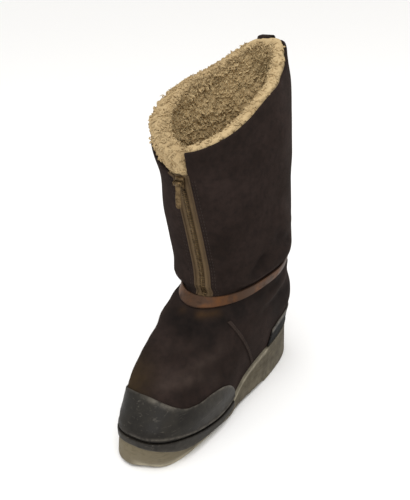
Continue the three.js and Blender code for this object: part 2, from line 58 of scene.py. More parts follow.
# %% Camera
EYE = Vector((0.4222, -0.6138, 0.5156))
AIM = Vector((0.0012, 0.0005, 0.1894))
LENS_MM = 52.7
ROLL = math.radians(1.92)

scene = bpy.context.scene
camera = bpy.data.objects.new("camera", bpy.data.cameras.new("camera"))
scene.collection.objects.link(camera)
camera.data.lens = LENS_MM
camera.location = EYE
camera.rotation_mode = "QUATERNION"
aim_turn = (AIM - EYE).to_track_quat("-Z", "Y")
camera.rotation_quaternion = (aim_turn.to_matrix() @ Matrix.Rotation(-ROLL, 3, "Z")).to_quaternion()
scene.camera = camera
print("camera is", round((AIM - EYE).length, 3), "m from the boot")

# %% [markdown]
# The photograph has a white floor that is brighter than the film can hold, and pale soft shadows. A bright
# sky all round gives the soft light, and one large lamp overhead gives the shadow its direction. The plain
# display transform is used, because a filmic one would grey the white floor.

# %% Floor and light
FLOOR_SIZE = 12.0
FLOOR_COLOUR, FLOOR_ROUGHNESS = (0.935, 0.93, 0.925, 1), 0.9
SKY_COLOUR, SKY_STRENGTH = (1.0, 0.995, 0.98, 1), 1.0
LAMP_POWER, LAMP_SIZE = 30.0, 1.6
LAMP_PLACE, LAMP_AIM = Vector((0.5, -0.9, 2.3)), Vector((0, 0, 0.1))

scene.view_settings.view_transform = "Standard"
world = bpy.data.worlds.new("studio")
scene.world = world
world.use_nodes = True
sky = world.node_tree.nodes["Background"]
sky.inputs["Color"].default_value = SKY_COLOUR
sky.inputs["Strength"].default_value = SKY_STRENGTH

lamp_data = bpy.data.lights.new("overhead_lamp", "AREA")
lamp_data.energy = LAMP_POWER
lamp_data.size = LAMP_SIZE
lamp = bpy.data.objects.new("overhead_lamp", lamp_data)
lamp.location = LAMP_PLACE
lamp.rotation_mode = "QUATERNION"
lamp.rotation_quaternion = (LAMP_AIM - LAMP_PLACE).to_track_quat("-Z", "Y")
scene.collection.objects.link(lamp)

floor_mesh = bpy.data.meshes.new("floor")
half = FLOOR_SIZE / 2
floor_corners = [(-half, -half, 0), (half, -half, 0), (half, half, 0), (-half, half, 0)]
floor_mesh.from_pydata(floor_corners, [], [(0, 1, 2, 3)])
floor = bpy.data.objects.new("floor", floor_mesh)
scene.collection.objects.link(floor)
floor_paint = bpy.data.materials.new("floor_paint")
floor_paint.use_nodes = True
floor_shader = floor_paint.node_tree.nodes["Principled BSDF"]
floor_shader.inputs["Base Color"].default_value = FLOOR_COLOUR
floor_shader.inputs["Roughness"].default_value = FLOOR_ROUGHNESS
floor_mesh.materials.append(floor_paint)
print("floor", FLOOR_SIZE, "m, sky", SKY_STRENGTH, "lamp", LAMP_POWER, "W")

# %% [markdown]
# A boot is drawn over a last, a wooden foot. The source of the solids describes that last with one row of
# sizes for each level section, and the same rows are used here, in millimetres, so that every skin laid on
# the last fits the solids. The wanted detail could be sculpted by hand, but a function can be sampled as
# finely as each piece needs.

# %% Sizes of the last
MM = 0.001
ORIGIN = np.array([-2.5, 2.0, 0.0])
LAST_COLUMNS = ["z", "back", "front", "heel", "waist_in", "waist_out", "ball_in", "ball_out",
                "back_round", "front_round", "shift"]
LAST_ROWS = [
    [0, 145, -144, 37, 38, 41, 44, 43, 0.66, 0.68, 0],
    [30, 148.5, -148, 39.5, 41, 44, 48, 46.5, 0.66, 0.68, 0],
    [42, 150, -147.5, 41, 42.5, 45.5, 49.5, 48, 0.66, 0.72, 0],
    [50, 151.5, -141, 42, 44, 47, 49.5, 49, 0.67, 0.8, 0],
    [57, 152.5, -130, 43, 45, 48, 49.5, 49.5, 0.68, 0.88, 0],
    [65, 153.5, -116, 43.5, 46, 49, 49.5, 50, 0.69, 0.94, 0],
    [82, 154, -92, 44, 47, 50, 49, 51, 0.7, 0.98, 0],
    [104, 153, -66, 44, 48, 51.5, 48, 52, 0.72, 1, 0],
    [124, 150, -44, 45, 49, 52.5, 48.5, 52.5, 0.76, 0.98, 1],
    [138, 148.5, -28, 47, 51, 53.5, 50, 53, 0.8, 0.95, 2],
    [150, 148, -20, 50, 55, 55.5, 53, 53.5, 0.84, 0.92, 2.5],
    [168, 148.5, -18, 54, 57.5, 57, 55, 54, 0.88, 0.9, 2],
    [205, 150, -23, 57, 60, 59.5, 57, 56, 0.9, 0.9, 1],
    [260, 150.5, -34, 58.5, 61, 61, 58, 57.5, 0.9, 0.9, -1],
    [320, 151, -46, 59.5, 61.5, 62, 59, 59, 0.9, 0.9, -3],
    [440, 151.5, -68, 61, 63, 64, 61, 61, 0.9, 0.9, -5],
]
# Edges in the side view, as Y and Z
BED_ROWS = [
    [-165, 39], [-150, 36.5], [-135, 33.5], [-118, 29.5], [-98, 24], [-75, 19], [-52, 16], [-32, 15.5],
    [-16, 18.5], [-2, 26], [12, 33], [30, 38.5], [50, 42], [100, 44.5], [165, 46],
]
TREAD_ROWS = [
    [-165, 8], [-152, 4], [-141, 1.2], [-130, 0], [-24, 0], [-12, 2.4], [4, 3.4], [36, 3.4], [52, 2.4],
    [60, 0], [138, 0], [148, 1.8], [165, 7],
]
FOXING_ROWS = [
    [-165, 32], [-150, 29], [-138, 24.5], [-124, 18.5], [-104, 13], [-80, 10], [-50, 8.5], [-28, 8.5],
    [-16, 12],
]
CAP_ROWS = [
    [-118, 76], [-115, 64], [-108, 58], [-98, 54.5], [-82, 53.5], [-62, 54.5], [-46, 53.5], [-32, 48.5],
    [-20, 38], [-12, 26],
]
COUNTER_ROWS = [[68, 40], [75, 65], [112, 69], [160, 71.5], [260, 78]]
# Two ends of the strap's middle line and of the collar in the side view, as Y and Z
STRAP_FRONT, STRAP_BACK = (-22, 138), (146, 155)
COLLAR_FRONT, COLLAR_BACK = (-46, 317), (150, 403)
# Shares of the length, from the heel, over which one width turns into the next
HEEL_TO_WAIST = (0.16, 0.46)
WAIST_TO_BALL = (0.44, 0.7)
TOE_SWING, SWING_FROM, SWING_LENGTH = 7, -20, 130
STRAP_SINK, TROUGH_FLAT, TROUGH_SHOULDER = 5, 7.5, 11


def read_rows(rows, column, at):
    """One column of a table, read between its rows with a cubic that never overshoots them."""
    table = np.array(rows, float)
    keys, values = table[:, 0], table[:, column]
    step = np.diff(keys)
    slope = np.diff(values) / step
    same_way = slope[:-1] * slope[1:] > 0
    total = np.where(same_way, slope[:-1] + slope[1:], 1)
    inner = np.where(same_way, 2 * slope[:-1] * slope[1:] / total, 0)
    tangent = np.concatenate([slope[:1], inner, slope[-1:]])
    i = np.clip(np.searchsorted(keys, at, side="right") - 1, 0, len(step) - 1)
    t = np.clip((at - keys[i]) / step[i], 0, 1)
    rise = values[i + 1] - values[i]
    a, b = tangent[i] * step[i], tangent[i + 1] * step[i]
    return values[i] + a * t + (3 * rise - 2 * a - b) * t**2 + (a + b - 2 * rise) * t**3


def last_size(name, z):
    """One size of the last at a height."""
    return read_rows(LAST_ROWS, LAST_COLUMNS.index(name), z)


def unit(vectors):
    """Vectors of length 1."""
    return vectors / np.linalg.norm(vectors, axis=-1, keepdims=True)


def smoothstep(x, low, high):
    """0 below low, 1 above high, and a soft ramp between."""
    t = np.clip((x - low) / (high - low), 0, 1)
    return t * t * (3 - 2 * t)


def bell(x, width):
    """1 in the middle and nearly 0 beyond twice the width."""
    return np.exp(-((x / width) ** 2))


def on_line(y, a, b):
    """Height over Y of the straight line through two side-view points."""
    return a[1] + (b[1] - a[1]) * (y - a[0]) / (b[0] - a[0])


def strap_height(y):
    """Middle line of the ankle strap in the side view."""
    return on_line(y, STRAP_FRONT, STRAP_BACK)


def bed_height(y):
    """Top of the sole in the side view."""
    return read_rows(BED_ROWS, 1, y)


print("the last has", len(LAST_ROWS), "sections, from", LAST_ROWS[0][0], "to", LAST_ROWS[-1][0], "mm")

# %% [markdown]
# A place on the last is an angle round the boot and a height. Angle 0 is the heel, a half turn is the toe,
# and the inner side comes first. Each level section is a rounded oval whose ends are blunter than an
# ellipse. The strap draws the upper in along its line, and the toe leans a little to the inner side.

# %% The last as a surface
PROBE_ANGLE, PROBE_HEIGHT = 0.03, 1.5
FRONT_REACH, HALVINGS = 1.2, 40
OUTLINE_HEIGHT, OUTLINE_STEPS = 40, 4001
NEAR_ZERO = 1e-6


def last_point(angle, z):
    """Points of the last, in millimetres."""
    angle, z = np.broadcast_arrays(np.asarray(angle, float), np.asarray(z, float))
    back, front = last_size("back", z), last_size("front", z)
    middle, reach = (back + front) / 2, (back - front) / 2
    c, s = np.cos(angle), np.sin(angle)
    blunt = np.where(c > 0, last_size("back_round", z), last_size("front_round", z))
    y = middle + reach * np.sign(c) * np.abs(c) ** blunt
    along = (back - y) / (2 * reach)
    waist = np.where(s >= 0, last_size("waist_in", z), last_size("waist_out", z))
    ball = np.where(s >= 0, last_size("ball_in", z), last_size("ball_out", z))
    heel = last_size("heel", z)
    width = heel + (waist - heel) * smoothstep(along, *HEEL_TO_WAIST)
    width = width + (ball - waist) * smoothstep(along, *WAIST_TO_BALL)
    lean = TOE_SWING * (np.maximum(0, SWING_FROM - y) / SWING_LENGTH) ** 2
    x = width * np.sign(s) * np.abs(s) ** blunt + last_size("shift", z) + lean
    away = np.abs(z - strap_height(y))
    sunk = STRAP_SINK * (1 - smoothstep(away, TROUGH_FLAT, TROUGH_FLAT + TROUGH_SHOULDER))
    far = np.maximum(np.hypot(x, y - middle), NEAR_ZERO)
    return np.stack([x - sunk * x / far, y - sunk * (y - middle) / far, z], axis=-1)


def last_normal(angle, z):
    """Outward directions of the last."""
    around = last_point(angle + PROBE_ANGLE, z) - last_point(angle - PROBE_ANGLE, z)
    up = last_point(angle, z + PROBE_HEIGHT) - last_point(angle, z - PROBE_HEIGHT)
    return unit(np.cross(up, around))


def side_angle(side, y, z):
    """Angle of the place on the inner (1) or outer (-1) side that lies at Y and height z."""
    side, y, z = np.broadcast_arrays(np.asarray(side, float), np.asarray(y, float), np.asarray(z, float))
    back, front = last_size("back", z), last_size("front", z)
    share = np.clip((2 * y - back - front) / (back - front), -1, 1)
    blunt = np.where(share > 0, last_size("back_round", z), last_size("front_round", z))
    turn = np.arccos(np.sign(share) * np.abs(share) ** (1 / blunt))
    return np.where(side >= 0, turn, 2 * np.pi - turn)


def halved(shape, low, high, too_far):
    """Where a test between two limits turns from false to true, found by halving for many places at once."""
    low, high = np.full(shape, float(low)), np.full(shape, float(high))
    for _ in range(HALVINGS):
        middle = (low + high) / 2
        far = too_far(middle)
        low, high = np.where(far, low, middle), np.where(far, middle, high)
    return (low + high) / 2


def front_angle(x, z):
    """Angle of the place on the front of the shaft that lies at X and height z."""
    x, z = np.broadcast_arrays(np.asarray(x, float), np.asarray(z, float))
    return halved(x.shape, np.pi - FRONT_REACH, np.pi + FRONT_REACH,
                  lambda angle: last_point(angle, z)[..., 0] <= x)


def even_angles(start, count, height=OUTLINE_HEIGHT):
    """Angles of one turn from start that divide the outline at a height into even lengths."""
    fine = start + np.linspace(0, 2 * np.pi, OUTLINE_STEPS)
    lengths = np.linalg.norm(np.diff(last_point(fine, height), axis=0), axis=1)
    along = np.concatenate([[0], np.cumsum(lengths)])
    return np.interp(np.linspace(0, along[-1], count + 1), along, fine)


toe_tip, collar_back = last_point(np.pi, OUTLINE_HEIGHT), last_point(0, COLLAR_BACK[1])
print("toe tip", toe_tip.round(1), "back of the collar", collar_back.round(1))

# %% [markdown]
# Worn suede is never smooth. The slack shaft hangs over the strap in a soft roll, diagonal folds run up
# from it, and the vamp has the ridge of many steps. A cloth simulation could make folds, but not these ones.
# So each fold is a line given on the last, with a depth and a width. Positive depth is a ridge and
# negative depth a trough, and both fade out at the ends.

# %% Creases
INNER, OUTER = 1, -1
CREASES = [
    # each has a depth, a width, and a line as side, Y, Z
    # inner vamp
    (1.7, 4.5, [(INNER, -93, 81), (INNER, -87, 83), (INNER, -66, 86), (INNER, -44, 87), (INNER, -22, 98)]),
    (1.6, 5, [(OUTER, -100, 73), (INNER, -102, 74), (INNER, -95, 76), (INNER, -84, 76), (INNER, -72, 74),
              (INNER, -58, 68)]),
    (-1.6, 7, [(INNER, -82, 92), (INNER, -66, 97), (INNER, -44, 99), (INNER, -24, 109)]),
    (-1.2, 8, [(INNER, -86, 72), (INNER, -60, 71), (INNER, -34, 72)]),
    # inner side of the shaft
    (3.2, 11, [(INNER, -10, 157), (INNER, 30, 163), (INNER, 70, 171), (INNER, 120, 178)]),
    (-4.4, 5.5, [(INNER, 14, 156), (INNER, 26, 171), (INNER, 44, 186)]),
    (-4.0, 6.5, [(INNER, 104, 176), (INNER, 74, 188), (INNER, 48, 206)]),
    (-2.8, 10, [(INNER, 118, 214), (INNER, 84, 232), (INNER, 40, 256)]),
    (1.6, 12, [(INNER, 112, 196), (INNER, 80, 212), (INNER, 44, 230)]),
    (-1.3, 16, [(INNER, 122, 286), (INNER, 80, 276), (INNER, 24, 280)]),
    (1.2, 16, [(INNER, 124, 322), (INNER, 84, 312), (INNER, 20, 300)]),
    # outer side of the shaft
    (2.8, 11, [(OUTER, -12, 157), (OUTER, 30, 163), (OUTER, 70, 171), (OUTER, 120, 178)]),
    (-4.4, 6, [(OUTER, 6, 156), (OUTER, 20, 174), (OUTER, 46, 190)]),
    (-4.0, 7, [(OUTER, 110, 178), (OUTER, 80, 192), (OUTER, 50, 212)]),
    (-2.8, 11, [(OUTER, 112, 232), (OUTER, 70, 246), (OUTER, 20, 240)]),
    # instep
    (-3.2, 6, [(OUTER, -46, 122), (OUTER, -56, 114), (INNER, -54, 114), (INNER, -34, 121)]),
    (-2.0, 3.6, [(INNER, -38, 131), (INNER, -47, 121), (INNER, -54, 108)]),
    (-1.8, 3.6, [(OUTER, -36, 131), (OUTER, -46, 120), (OUTER, -52, 106)]),
    (1.4, 6, [(OUTER, -60, 100), (INNER, -62, 101), (INNER, -36, 108)]),
    # sides of the heel, below the strap
    (-2.6, 5, [(INNER, 36, 127), (INNER, 84, 131), (INNER, 128, 135)]),
    (1.8, 6, [(INNER, 40, 116), (INNER, 86, 120), (INNER, 128, 122)]),
    (-1.8, 7, [(INNER, 30, 102), (INNER, 70, 106), (INNER, 112, 106)]),
    (-2.6, 5, [(OUTER, 36, 127), (OUTER, 84, 131), (OUTER, 128, 135)]),
    (-1.8, 7, [(OUTER, 26, 104), (OUTER, 70, 108), (OUTER, 112, 108)]),
    # outer vamp
    (-1.4, 9, [(OUTER, -84, 76), (OUTER, -62, 80), (OUTER, -36, 88)]),
    (1.3, 6, [(OUTER, -90, 84), (OUTER, -70, 90), (OUTER, -44, 98)]),
    # outer shaft below the collar
    (-1.6, 10, [(OUTER, 140, 330), (OUTER, 90, 318), (OUTER, 40, 322)]),
    # slack of the outer vamp and shaft
    (7.5, 19, [(OUTER, -136, 48), (OUTER, -112, 60), (OUTER, -93, 70), (OUTER, -65, 90), (OUTER, -41, 110),
               (OUTER, -12, 134)]),
    (4.5, 14, [(OUTER, -34, 106), (OUTER, -49, 89), (OUTER, -66, 74), (OUTER, -84, 58), (OUTER, -104, 48)]),
    (6.5, 24, [(OUTER, -10, 100), (OUTER, 2, 126), (OUTER, 3, 158), (OUTER, -2, 200), (OUTER, -8, 235),
               (OUTER, -18, 290)]),
    # round the heel
    (4.4, 16, [(INNER, 90, 101), (INNER, 132, 100), (OUTER, 132, 100), (OUTER, 90, 101)]),
    (3.6, 13, [(INNER, 86, 82), (INNER, 132, 81), (OUTER, 132, 81), (OUTER, 86, 82)]),
    # slack of the outer vamp and instep
    (5.2, 13, [(OUTER, -122, 52), (OUTER, -106, 61), (OUTER, -90, 71), (OUTER, -74, 83), (OUTER, -56, 97)]),
    (3.2, 9, [(OUTER, 8, 131), (OUTER, -8, 128), (OUTER, -22, 123), (OUTER, -34, 115), (OUTER, -46, 105)]),
    # inner side at the back
    (-4.2, 20, [(INNER, 60, 364), (INNER, 88, 376), (INNER, 118, 386), (INNER, 147, 394)]),
    (-2.0, 26, [(INNER, 118, 165), (INNER, 120, 210), (INNER, 120, 280)]),
    # flap of the outer side
    (4.0, 24, [(OUTER, -44, 292), (OUTER, -30, 308), (OUTER, 0, 326), (OUTER, 50, 346)]),
]
CREASE_FADE, CREASE_FINE = 0.3, 4
STRAP_CALM = (6, 13)


def path_distance(points, path):
    """Distance from each point to a bent line, and the nearest place's share of the line from 0 to 1."""
    lengths = np.linalg.norm(np.diff(path, axis=0), axis=1)
    starts = np.concatenate([[0], np.cumsum(lengths)])
    best, share = np.full(points.shape[:-1], np.inf), np.zeros(points.shape[:-1])
    for a, b, length, start in zip(path[:-1], path[1:], lengths, starts):
        t = np.clip(((points - a) @ (b - a)) / length**2, 0, 1)
        gap = np.linalg.norm(points - a - t[..., None] * (b - a), axis=-1)
        nearer = gap < best
        best = np.where(nearer, gap, best)
        share = np.where(nearer, (start + t * length) / starts[-1], share)
    return best, share


def crease_path(line):
    """A fold's line on the last, with a few places between those that were set."""
    side, y, z = np.array(line, float).T
    coarse = np.arange(len(line))
    fine = np.linspace(0, len(line) - 1, CREASE_FINE * len(line))
    angle = np.unwrap(side_angle(side, y, z))
    return last_point(np.interp(fine, coarse, angle), np.interp(fine, coarse, z))


CREASE_PATHS = [(depth, width, crease_path(line)) for depth, width, line in CREASES]


def relief(points, widest=np.inf):
    """How far the folds up to a width push the surface out at each place. The strap flattens them."""
    total = np.zeros(points.shape[:-1])
    for depth, width, path in CREASE_PATHS:
        if width > widest:
            continue
        gap, share = path_distance(points, path)
        fade = smoothstep(share, 0, CREASE_FADE) * smoothstep(1 - share, 0, CREASE_FADE)
        total += depth * fade * bell(gap, width)
    away = np.abs(points[..., 2] - strap_height(points[..., 1]))
    return total * smoothstep(away, *STRAP_CALM)


def skin(angle, z):
    """Places and outward directions of the creased surface of the upper."""
    points, normals = last_point(angle, z), last_normal(angle, z)
    return points + normals * relief(points)[..., None], normals


print(len(CREASES), "creases")

# %% [markdown]
# Nearly every piece of a boot is a sheet of even thickness: hide, rubber, strap, tape. A sheet could be a
# thin grid with a Solidify modifier, but then its edges stay square. Here a closed section, rounded at both
# edges, is carried along the sheet, which gives one closed mesh with soft edges.

# %% Mesh helpers
EDGE_FLOOR = 0.22
SHARP_EDGE = math.radians(50)
WELD, FINE_WELD = 0.01, 0.0001


def edge_profile(distance, radius):
    """Share of a sheet's thickness near its rounded edge."""
    inward = 1 - np.clip(distance / radius, 0, 1)
    return EDGE_FLOOR + (1 - EDGE_FLOOR) * np.sqrt(1 - inward**2)


def lengths_along(points, axis):
    """Length along a grid's lines from their first place."""
    step = np.linalg.norm(np.diff(points, axis=axis), axis=-1)
    pad = [(0, 0), (0, 0)]
    pad[axis] = (1, 0)
    return np.pad(np.cumsum(step, axis=axis), pad)


def sheet_loops(points, normals, back, face, radius, ends=False):
    """Closed sections of a sheet between two offsets. Rows run across it and columns along it.

    ends says whether the first and last column are rounded edges too, for all rows or row by row.
    """
    across = lengths_along(points, 1)
    edge = np.minimum(across, across[:, -1:] - across)
    along = lengths_along(points, 0)
    edge = np.where(ends, np.minimum(edge, np.minimum(along, along[-1:] - along)), edge)
    swell = edge_profile(edge, radius)
    middle, half_thick = (back + face) / 2, (face - back) / 2
    outer = points + normals * (middle + half_thick * swell)[..., None]
    inner = points + normals * (middle - half_thick * swell)[..., None]
    return np.concatenate([outer, inner[:, ::-1]], axis=1)


def both_faces(grid):
    """A grid of values on a sheet, read for its outer and then its inner face."""
    return np.concatenate([grid, grid[:, ::-1]], axis=1)


def sweep_faces(places, size, closed, cap_from=0):
    """Faces of closed sections carried from place to place, with end caps unless they close in a ring."""
    i, j = np.meshgrid(np.arange(places if closed else places - 1), np.arange(size), indexing="ij")
    after, above = (i + 1) % places, (j + 1) % size
    faces = np.stack([i * size + j, after * size + j, after * size + above, i * size + above], -1)
    faces = faces.reshape(-1, 4)
    if not closed:
        k = np.arange(cap_from, size // 2 - 1)
        cap = np.stack([k, k + 1, size - 2 - k, size - 1 - k], -1)
        faces = np.concatenate([faces, cap, cap[:, ::-1] + (places - 1) * size])
    return faces


def loops_mesh(loops, closed=False, cap_from=0):
    """Points and faces of a swept sheet."""
    return loops.reshape(-1, 3), sweep_faces(loops.shape[0], loops.shape[1], closed, cap_from)


def joined(parts):
    """Several sets of points and faces as one set."""
    points, faces, count = [], [], 0
    for part_points, part_faces in parts:
        points.append(part_points)
        faces.extend([[corner + count for corner in face] for face in part_faces])
        count += len(part_points)
    return np.concatenate(points), faces


def make_piece(name, shape, material, replaced=(), body="boot", weld=WELD, masks=None):
    """A piece of the boot from points in millimetres and faces, riding on a body."""
    points, faces = shape
    mesh = bpy.data.meshes.new(name)
    mesh.from_pydata(((points - ORIGIN) * MM).tolist(), [], [list(face) for face in faces])
    for mask, values in (masks or {}).items():
        layer = mesh.attributes.new(mask, "FLOAT", "POINT")
        layer.data.foreach_set("value", np.asarray(values, np.float32).ravel())
    work = bmesh.new()
    work.from_mesh(mesh)
    bmesh.ops.remove_doubles(work, verts=work.verts, dist=weld * MM)
    bmesh.ops.recalc_face_normals(work, faces=work.faces)
    work.to_mesh(mesh)
    work.free()
    mesh.shade_smooth()
    mesh.set_sharp_from_angle(angle=SHARP_EDGE)
    mesh.materials.append(material)
    piece = bpy.data.objects.new(name, mesh)
    scene.collection.objects.link(piece)
    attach(piece, body)
    if replaced:
        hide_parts(*replaced)
    mesh.calc_loop_triangles()
    print(f"{name}: {len(mesh.loop_triangles)} triangles")


def tube(path, radius, sides, closed=False, guide=(0, 0, 1)):
    """A round bar along a line of points, with flat ends unless it closes. It can't run along its guide."""
    path = np.asarray(path, float)
    if closed:
        forward = np.roll(path, -1, axis=0) - np.roll(path, 1, axis=0)
    else:
        forward = np.gradient(path, axis=0)
    forward = unit(forward)
    side = unit(np.cross(forward, guide))
    up = np.cross(side, forward)
    turn = 2 * np.pi * np.arange(sides) / sides
    ring = np.cos(turn)[None, :, None] * side[:, None] + np.sin(turn)[None, :, None] * up[:, None]
    radius = np.broadcast_to(np.asarray(radius, float), (len(path),))
    return loops_mesh(path[:, None] + ring * radius[:, None, None], closed)


print("helpers ready")

# %% [markdown]
# Materials are built from shader nodes, so a few small helpers keep them readable. Colours are written as
# screen values from 0 to 255, and turned into the linear light that the renderer wants.

# %% Node helpers
SCREEN_WHITE = 255
# The curve of screen values has a straight foot and is a power above it
CURVE_FOOT, CURVE_SLOPE, CURVE_SHIFT, CURVE_POWER = 0.04045, 12.92, 0.055, 2.4
# A Mix node has sockets for each kind of data, and these are the ones for colours
MIX_SHARE, MIX_A, MIX_B, MIX_RESULT = 0, 6, 7, 2


def paint(red, green, blue):
    """Screen values as a linear colour."""
    share = np.array([red, green, blue]) / SCREEN_WHITE
    curved = ((share + CURVE_SHIFT) / (1 + CURVE_SHIFT)) ** CURVE_POWER
    linear = np.where(share > CURVE_FOOT, curved, share / CURVE_SLOPE)
    return (*linear.tolist(), 1.0)


def node(tree, kind, inputs=None, **settings):
    """A node with its settings, and each input either linked or set."""
    made = tree.nodes.new(kind)
    for key, value in settings.items():
        setattr(made, key, value)
    for key, value in (inputs or {}).items():
        if isinstance(value, bpy.types.NodeSocket):
            tree.links.new(value, made.inputs[key])
        else:
            made.inputs[key].default_value = value
    return made


def maths(tree, operation, a, b=0.0):
    """One step of arithmetic with one or two values."""
    return node(tree, "ShaderNodeMath", {0: a, 1: b}, operation=operation).outputs[0]


def times(tree, a, b):
    """The product of two values."""
    return maths(tree, "MULTIPLY", a, b)


def mix(tree, share, a, b):
    """Colour a where share is 0 and colour b where it is 1."""
    inputs = {MIX_SHARE: share, MIX_A: a, MIX_B: b}
    return node(tree, "ShaderNodeMix", inputs, data_type="RGBA").outputs[MIX_RESULT]


def ramp(tree, value, low, high):
    """0 at low and 1 at high."""
    return node(tree, "ShaderNodeMapRange", {"Value": value, "From Min": low, "From Max": high}).outputs[0]


def spread(tree, value, low, high):
    """A mask from 0 to 1 as a value from low to high."""
    return node(tree, "ShaderNodeMapRange", {"Value": value, "To Min": low, "To Max": high}).outputs[0]


def mask_of(tree, name):
    """A mask stored on the mesh."""
    return node(tree, "ShaderNodeAttribute", attribute_name=name).outputs["Fac"]


def new_group(name, inputs, outputs):
    """An empty node group with named sockets."""
    tree = bpy.data.node_groups.new(name, "ShaderNodeTree")
    for label, value in inputs.items():
        tree.interface.new_socket(label, in_out="INPUT", socket_type="NodeSocketFloat").default_value = value
    for label in outputs:
        tree.interface.new_socket(label, in_out="OUTPUT", socket_type="NodeSocketFloat")
    return tree, node(tree, "NodeGroupInput"), node(tree, "NodeGroupOutput")


def use(tree, group, **values):
    """Places a group in a material, with values for its inputs, and returns its outputs."""
    return node(tree, "ShaderNodeGroup", values, node_tree=group).outputs


def sized_place(tree, size, squeeze=(1.0, 1.0, 1.0)):
    """The place on the boot, scaled so that one unit is size millimetres."""
    place = node(tree, "ShaderNodeTexCoord").outputs["Object"]
    squeezed = node(tree, "ShaderNodeVectorMath", {0: place, 1: squeeze}, operation="MULTIPLY").outputs[0]
    scale = maths(tree, "DIVIDE", 1 / MM, size)
    return node(tree, "ShaderNodeVectorMath", {0: squeezed, "Scale": scale}, operation="SCALE").outputs[0]


def cloudy(tree, size, squeeze=(1.0, 1.0, 1.0), **inputs):
    """Cloudy noise with lumps about size millimetres wide. More inputs of its node are given by name."""
    inputs = {"Vector": sized_place(tree, size, squeeze), "Scale": 1.0, **inputs}
    return node(tree, "ShaderNodeTexNoise", inputs).outputs["Fac"]


print("node helpers ready")

# %% [markdown]
# Five effects are shared by the materials: soft blotches, long scuffs, dust that settles low, a fine pebbled
# grain, and a weave. Each is a node group that puts out a mask or a height, so one change mends them all.

# %% Shared effects
SCUFF_SQUEEZE = (0.6, 0.16, 1.7)
DUST_PATCHES = (0.35, 0.7)
SPECK_SCALE, SPECK_SHARE = 2.3, 0.6

blotches, given, result = new_group("blotches", {"Size": 40, "Low": 0.4, "High": 0.6}, ["Mask"])
cloud = cloudy(blotches, given.outputs["Size"], Detail=5.0, Roughness=0.6)
cloud_mask = ramp(blotches, cloud, given.outputs["Low"], given.outputs["High"])
blotches.links.new(cloud_mask, result.inputs["Mask"])

scuffs, given, result = new_group("scuffs", {"Size": 6, "Low": 0.5, "High": 0.7}, ["Mask"])
streak = cloudy(scuffs, given.outputs["Size"], SCUFF_SQUEEZE, Detail=6.0, Roughness=0.68, Distortion=0.6)
streak_mask = ramp(scuffs, streak, given.outputs["Low"], given.outputs["High"])
scuffs.links.new(streak_mask, result.inputs["Mask"])

dust, given, result = new_group("dust", {"Top": 30, "Fade": 20, "Size": 18}, ["Mask"])
dust_place = node(dust, "ShaderNodeTexCoord").outputs["Object"]
height_mm = times(dust, node(dust, "ShaderNodeSeparateXYZ", {0: dust_place}).outputs["Z"], 1 / MM)
below = maths(dust, "SUBTRACT", given.outputs["Top"], height_mm)
settled = maths(dust, "DIVIDE", below, given.outputs["Fade"])
patchy = cloudy(dust, given.outputs["Size"], Detail=6.0, Roughness=0.65)
dust_mask = times(dust, ramp(dust, settled, 0.0, 1.0), ramp(dust, patchy, *DUST_PATCHES))
dust.links.new(dust_mask, result.inputs["Mask"])

grain, given, result = new_group("grain", {"Size": 1.2}, ["Height"])
pebble_place = sized_place(grain, given.outputs["Size"])
pebble = node(grain, "ShaderNodeTexVoronoi", {"Vector": pebble_place, "Scale": 1.0}, feature="SMOOTH_F1")
speck = cloudy(grain, given.outputs["Size"], Scale=SPECK_SCALE, Detail=4.0)
grain_height = maths(grain, "ADD", pebble.outputs["Distance"], times(grain, speck, SPECK_SHARE))
grain.links.new(grain_height, result.inputs["Height"])

weave, given, result = new_group("weave", {"Pitch": 1.1}, ["Height"])
threads = node(weave, "ShaderNodeSeparateXYZ", {0: sized_place(weave, given.outputs["Pitch"])})
warp = maths(weave, "SINE", times(weave, threads.outputs["X"], 2 * math.pi))
weft = maths(weave, "SINE", times(weave, threads.outputs["Z"], 2 * math.pi))
weave.links.new(times(weave, warp, weft), result.inputs["Height"])
print("shared effects:", sorted(tree.name for tree in bpy.data.node_groups))

# %% [markdown]
# A material starts as a plain Principled shader. Values that are the same all over are set on its own
# sockets. Only colour, roughness and bump come from nodes.

# %% Material helper


def new_material(name, **constants):
    """A node material, its tree and its shader, with constant sockets set."""
    material = bpy.data.materials.new(name)
    material.use_nodes = True
    shader = material.node_tree.nodes["Principled BSDF"]
    for key, value in constants.items():
        shader.inputs[key.replace("_", " ")].default_value = value
    return material, material.node_tree, shader


def finish_surface(tree, shader, colour, height, strength, depth_mm, roughness=None):
    """Links a colour and a bump, and a roughness where it changes over the surface."""
    tree.links.new(colour, shader.inputs["Base Color"])
    bump = node(tree, "ShaderNodeBump", {"Strength": strength, "Distance": depth_mm * MM, "Height": height})
    tree.links.new(bump.outputs["Normal"], shader.inputs["Normal"])
    if roughness is not None:
        tree.links.new(roughness, shader.inputs["Roughness"])


print("material helper ready")
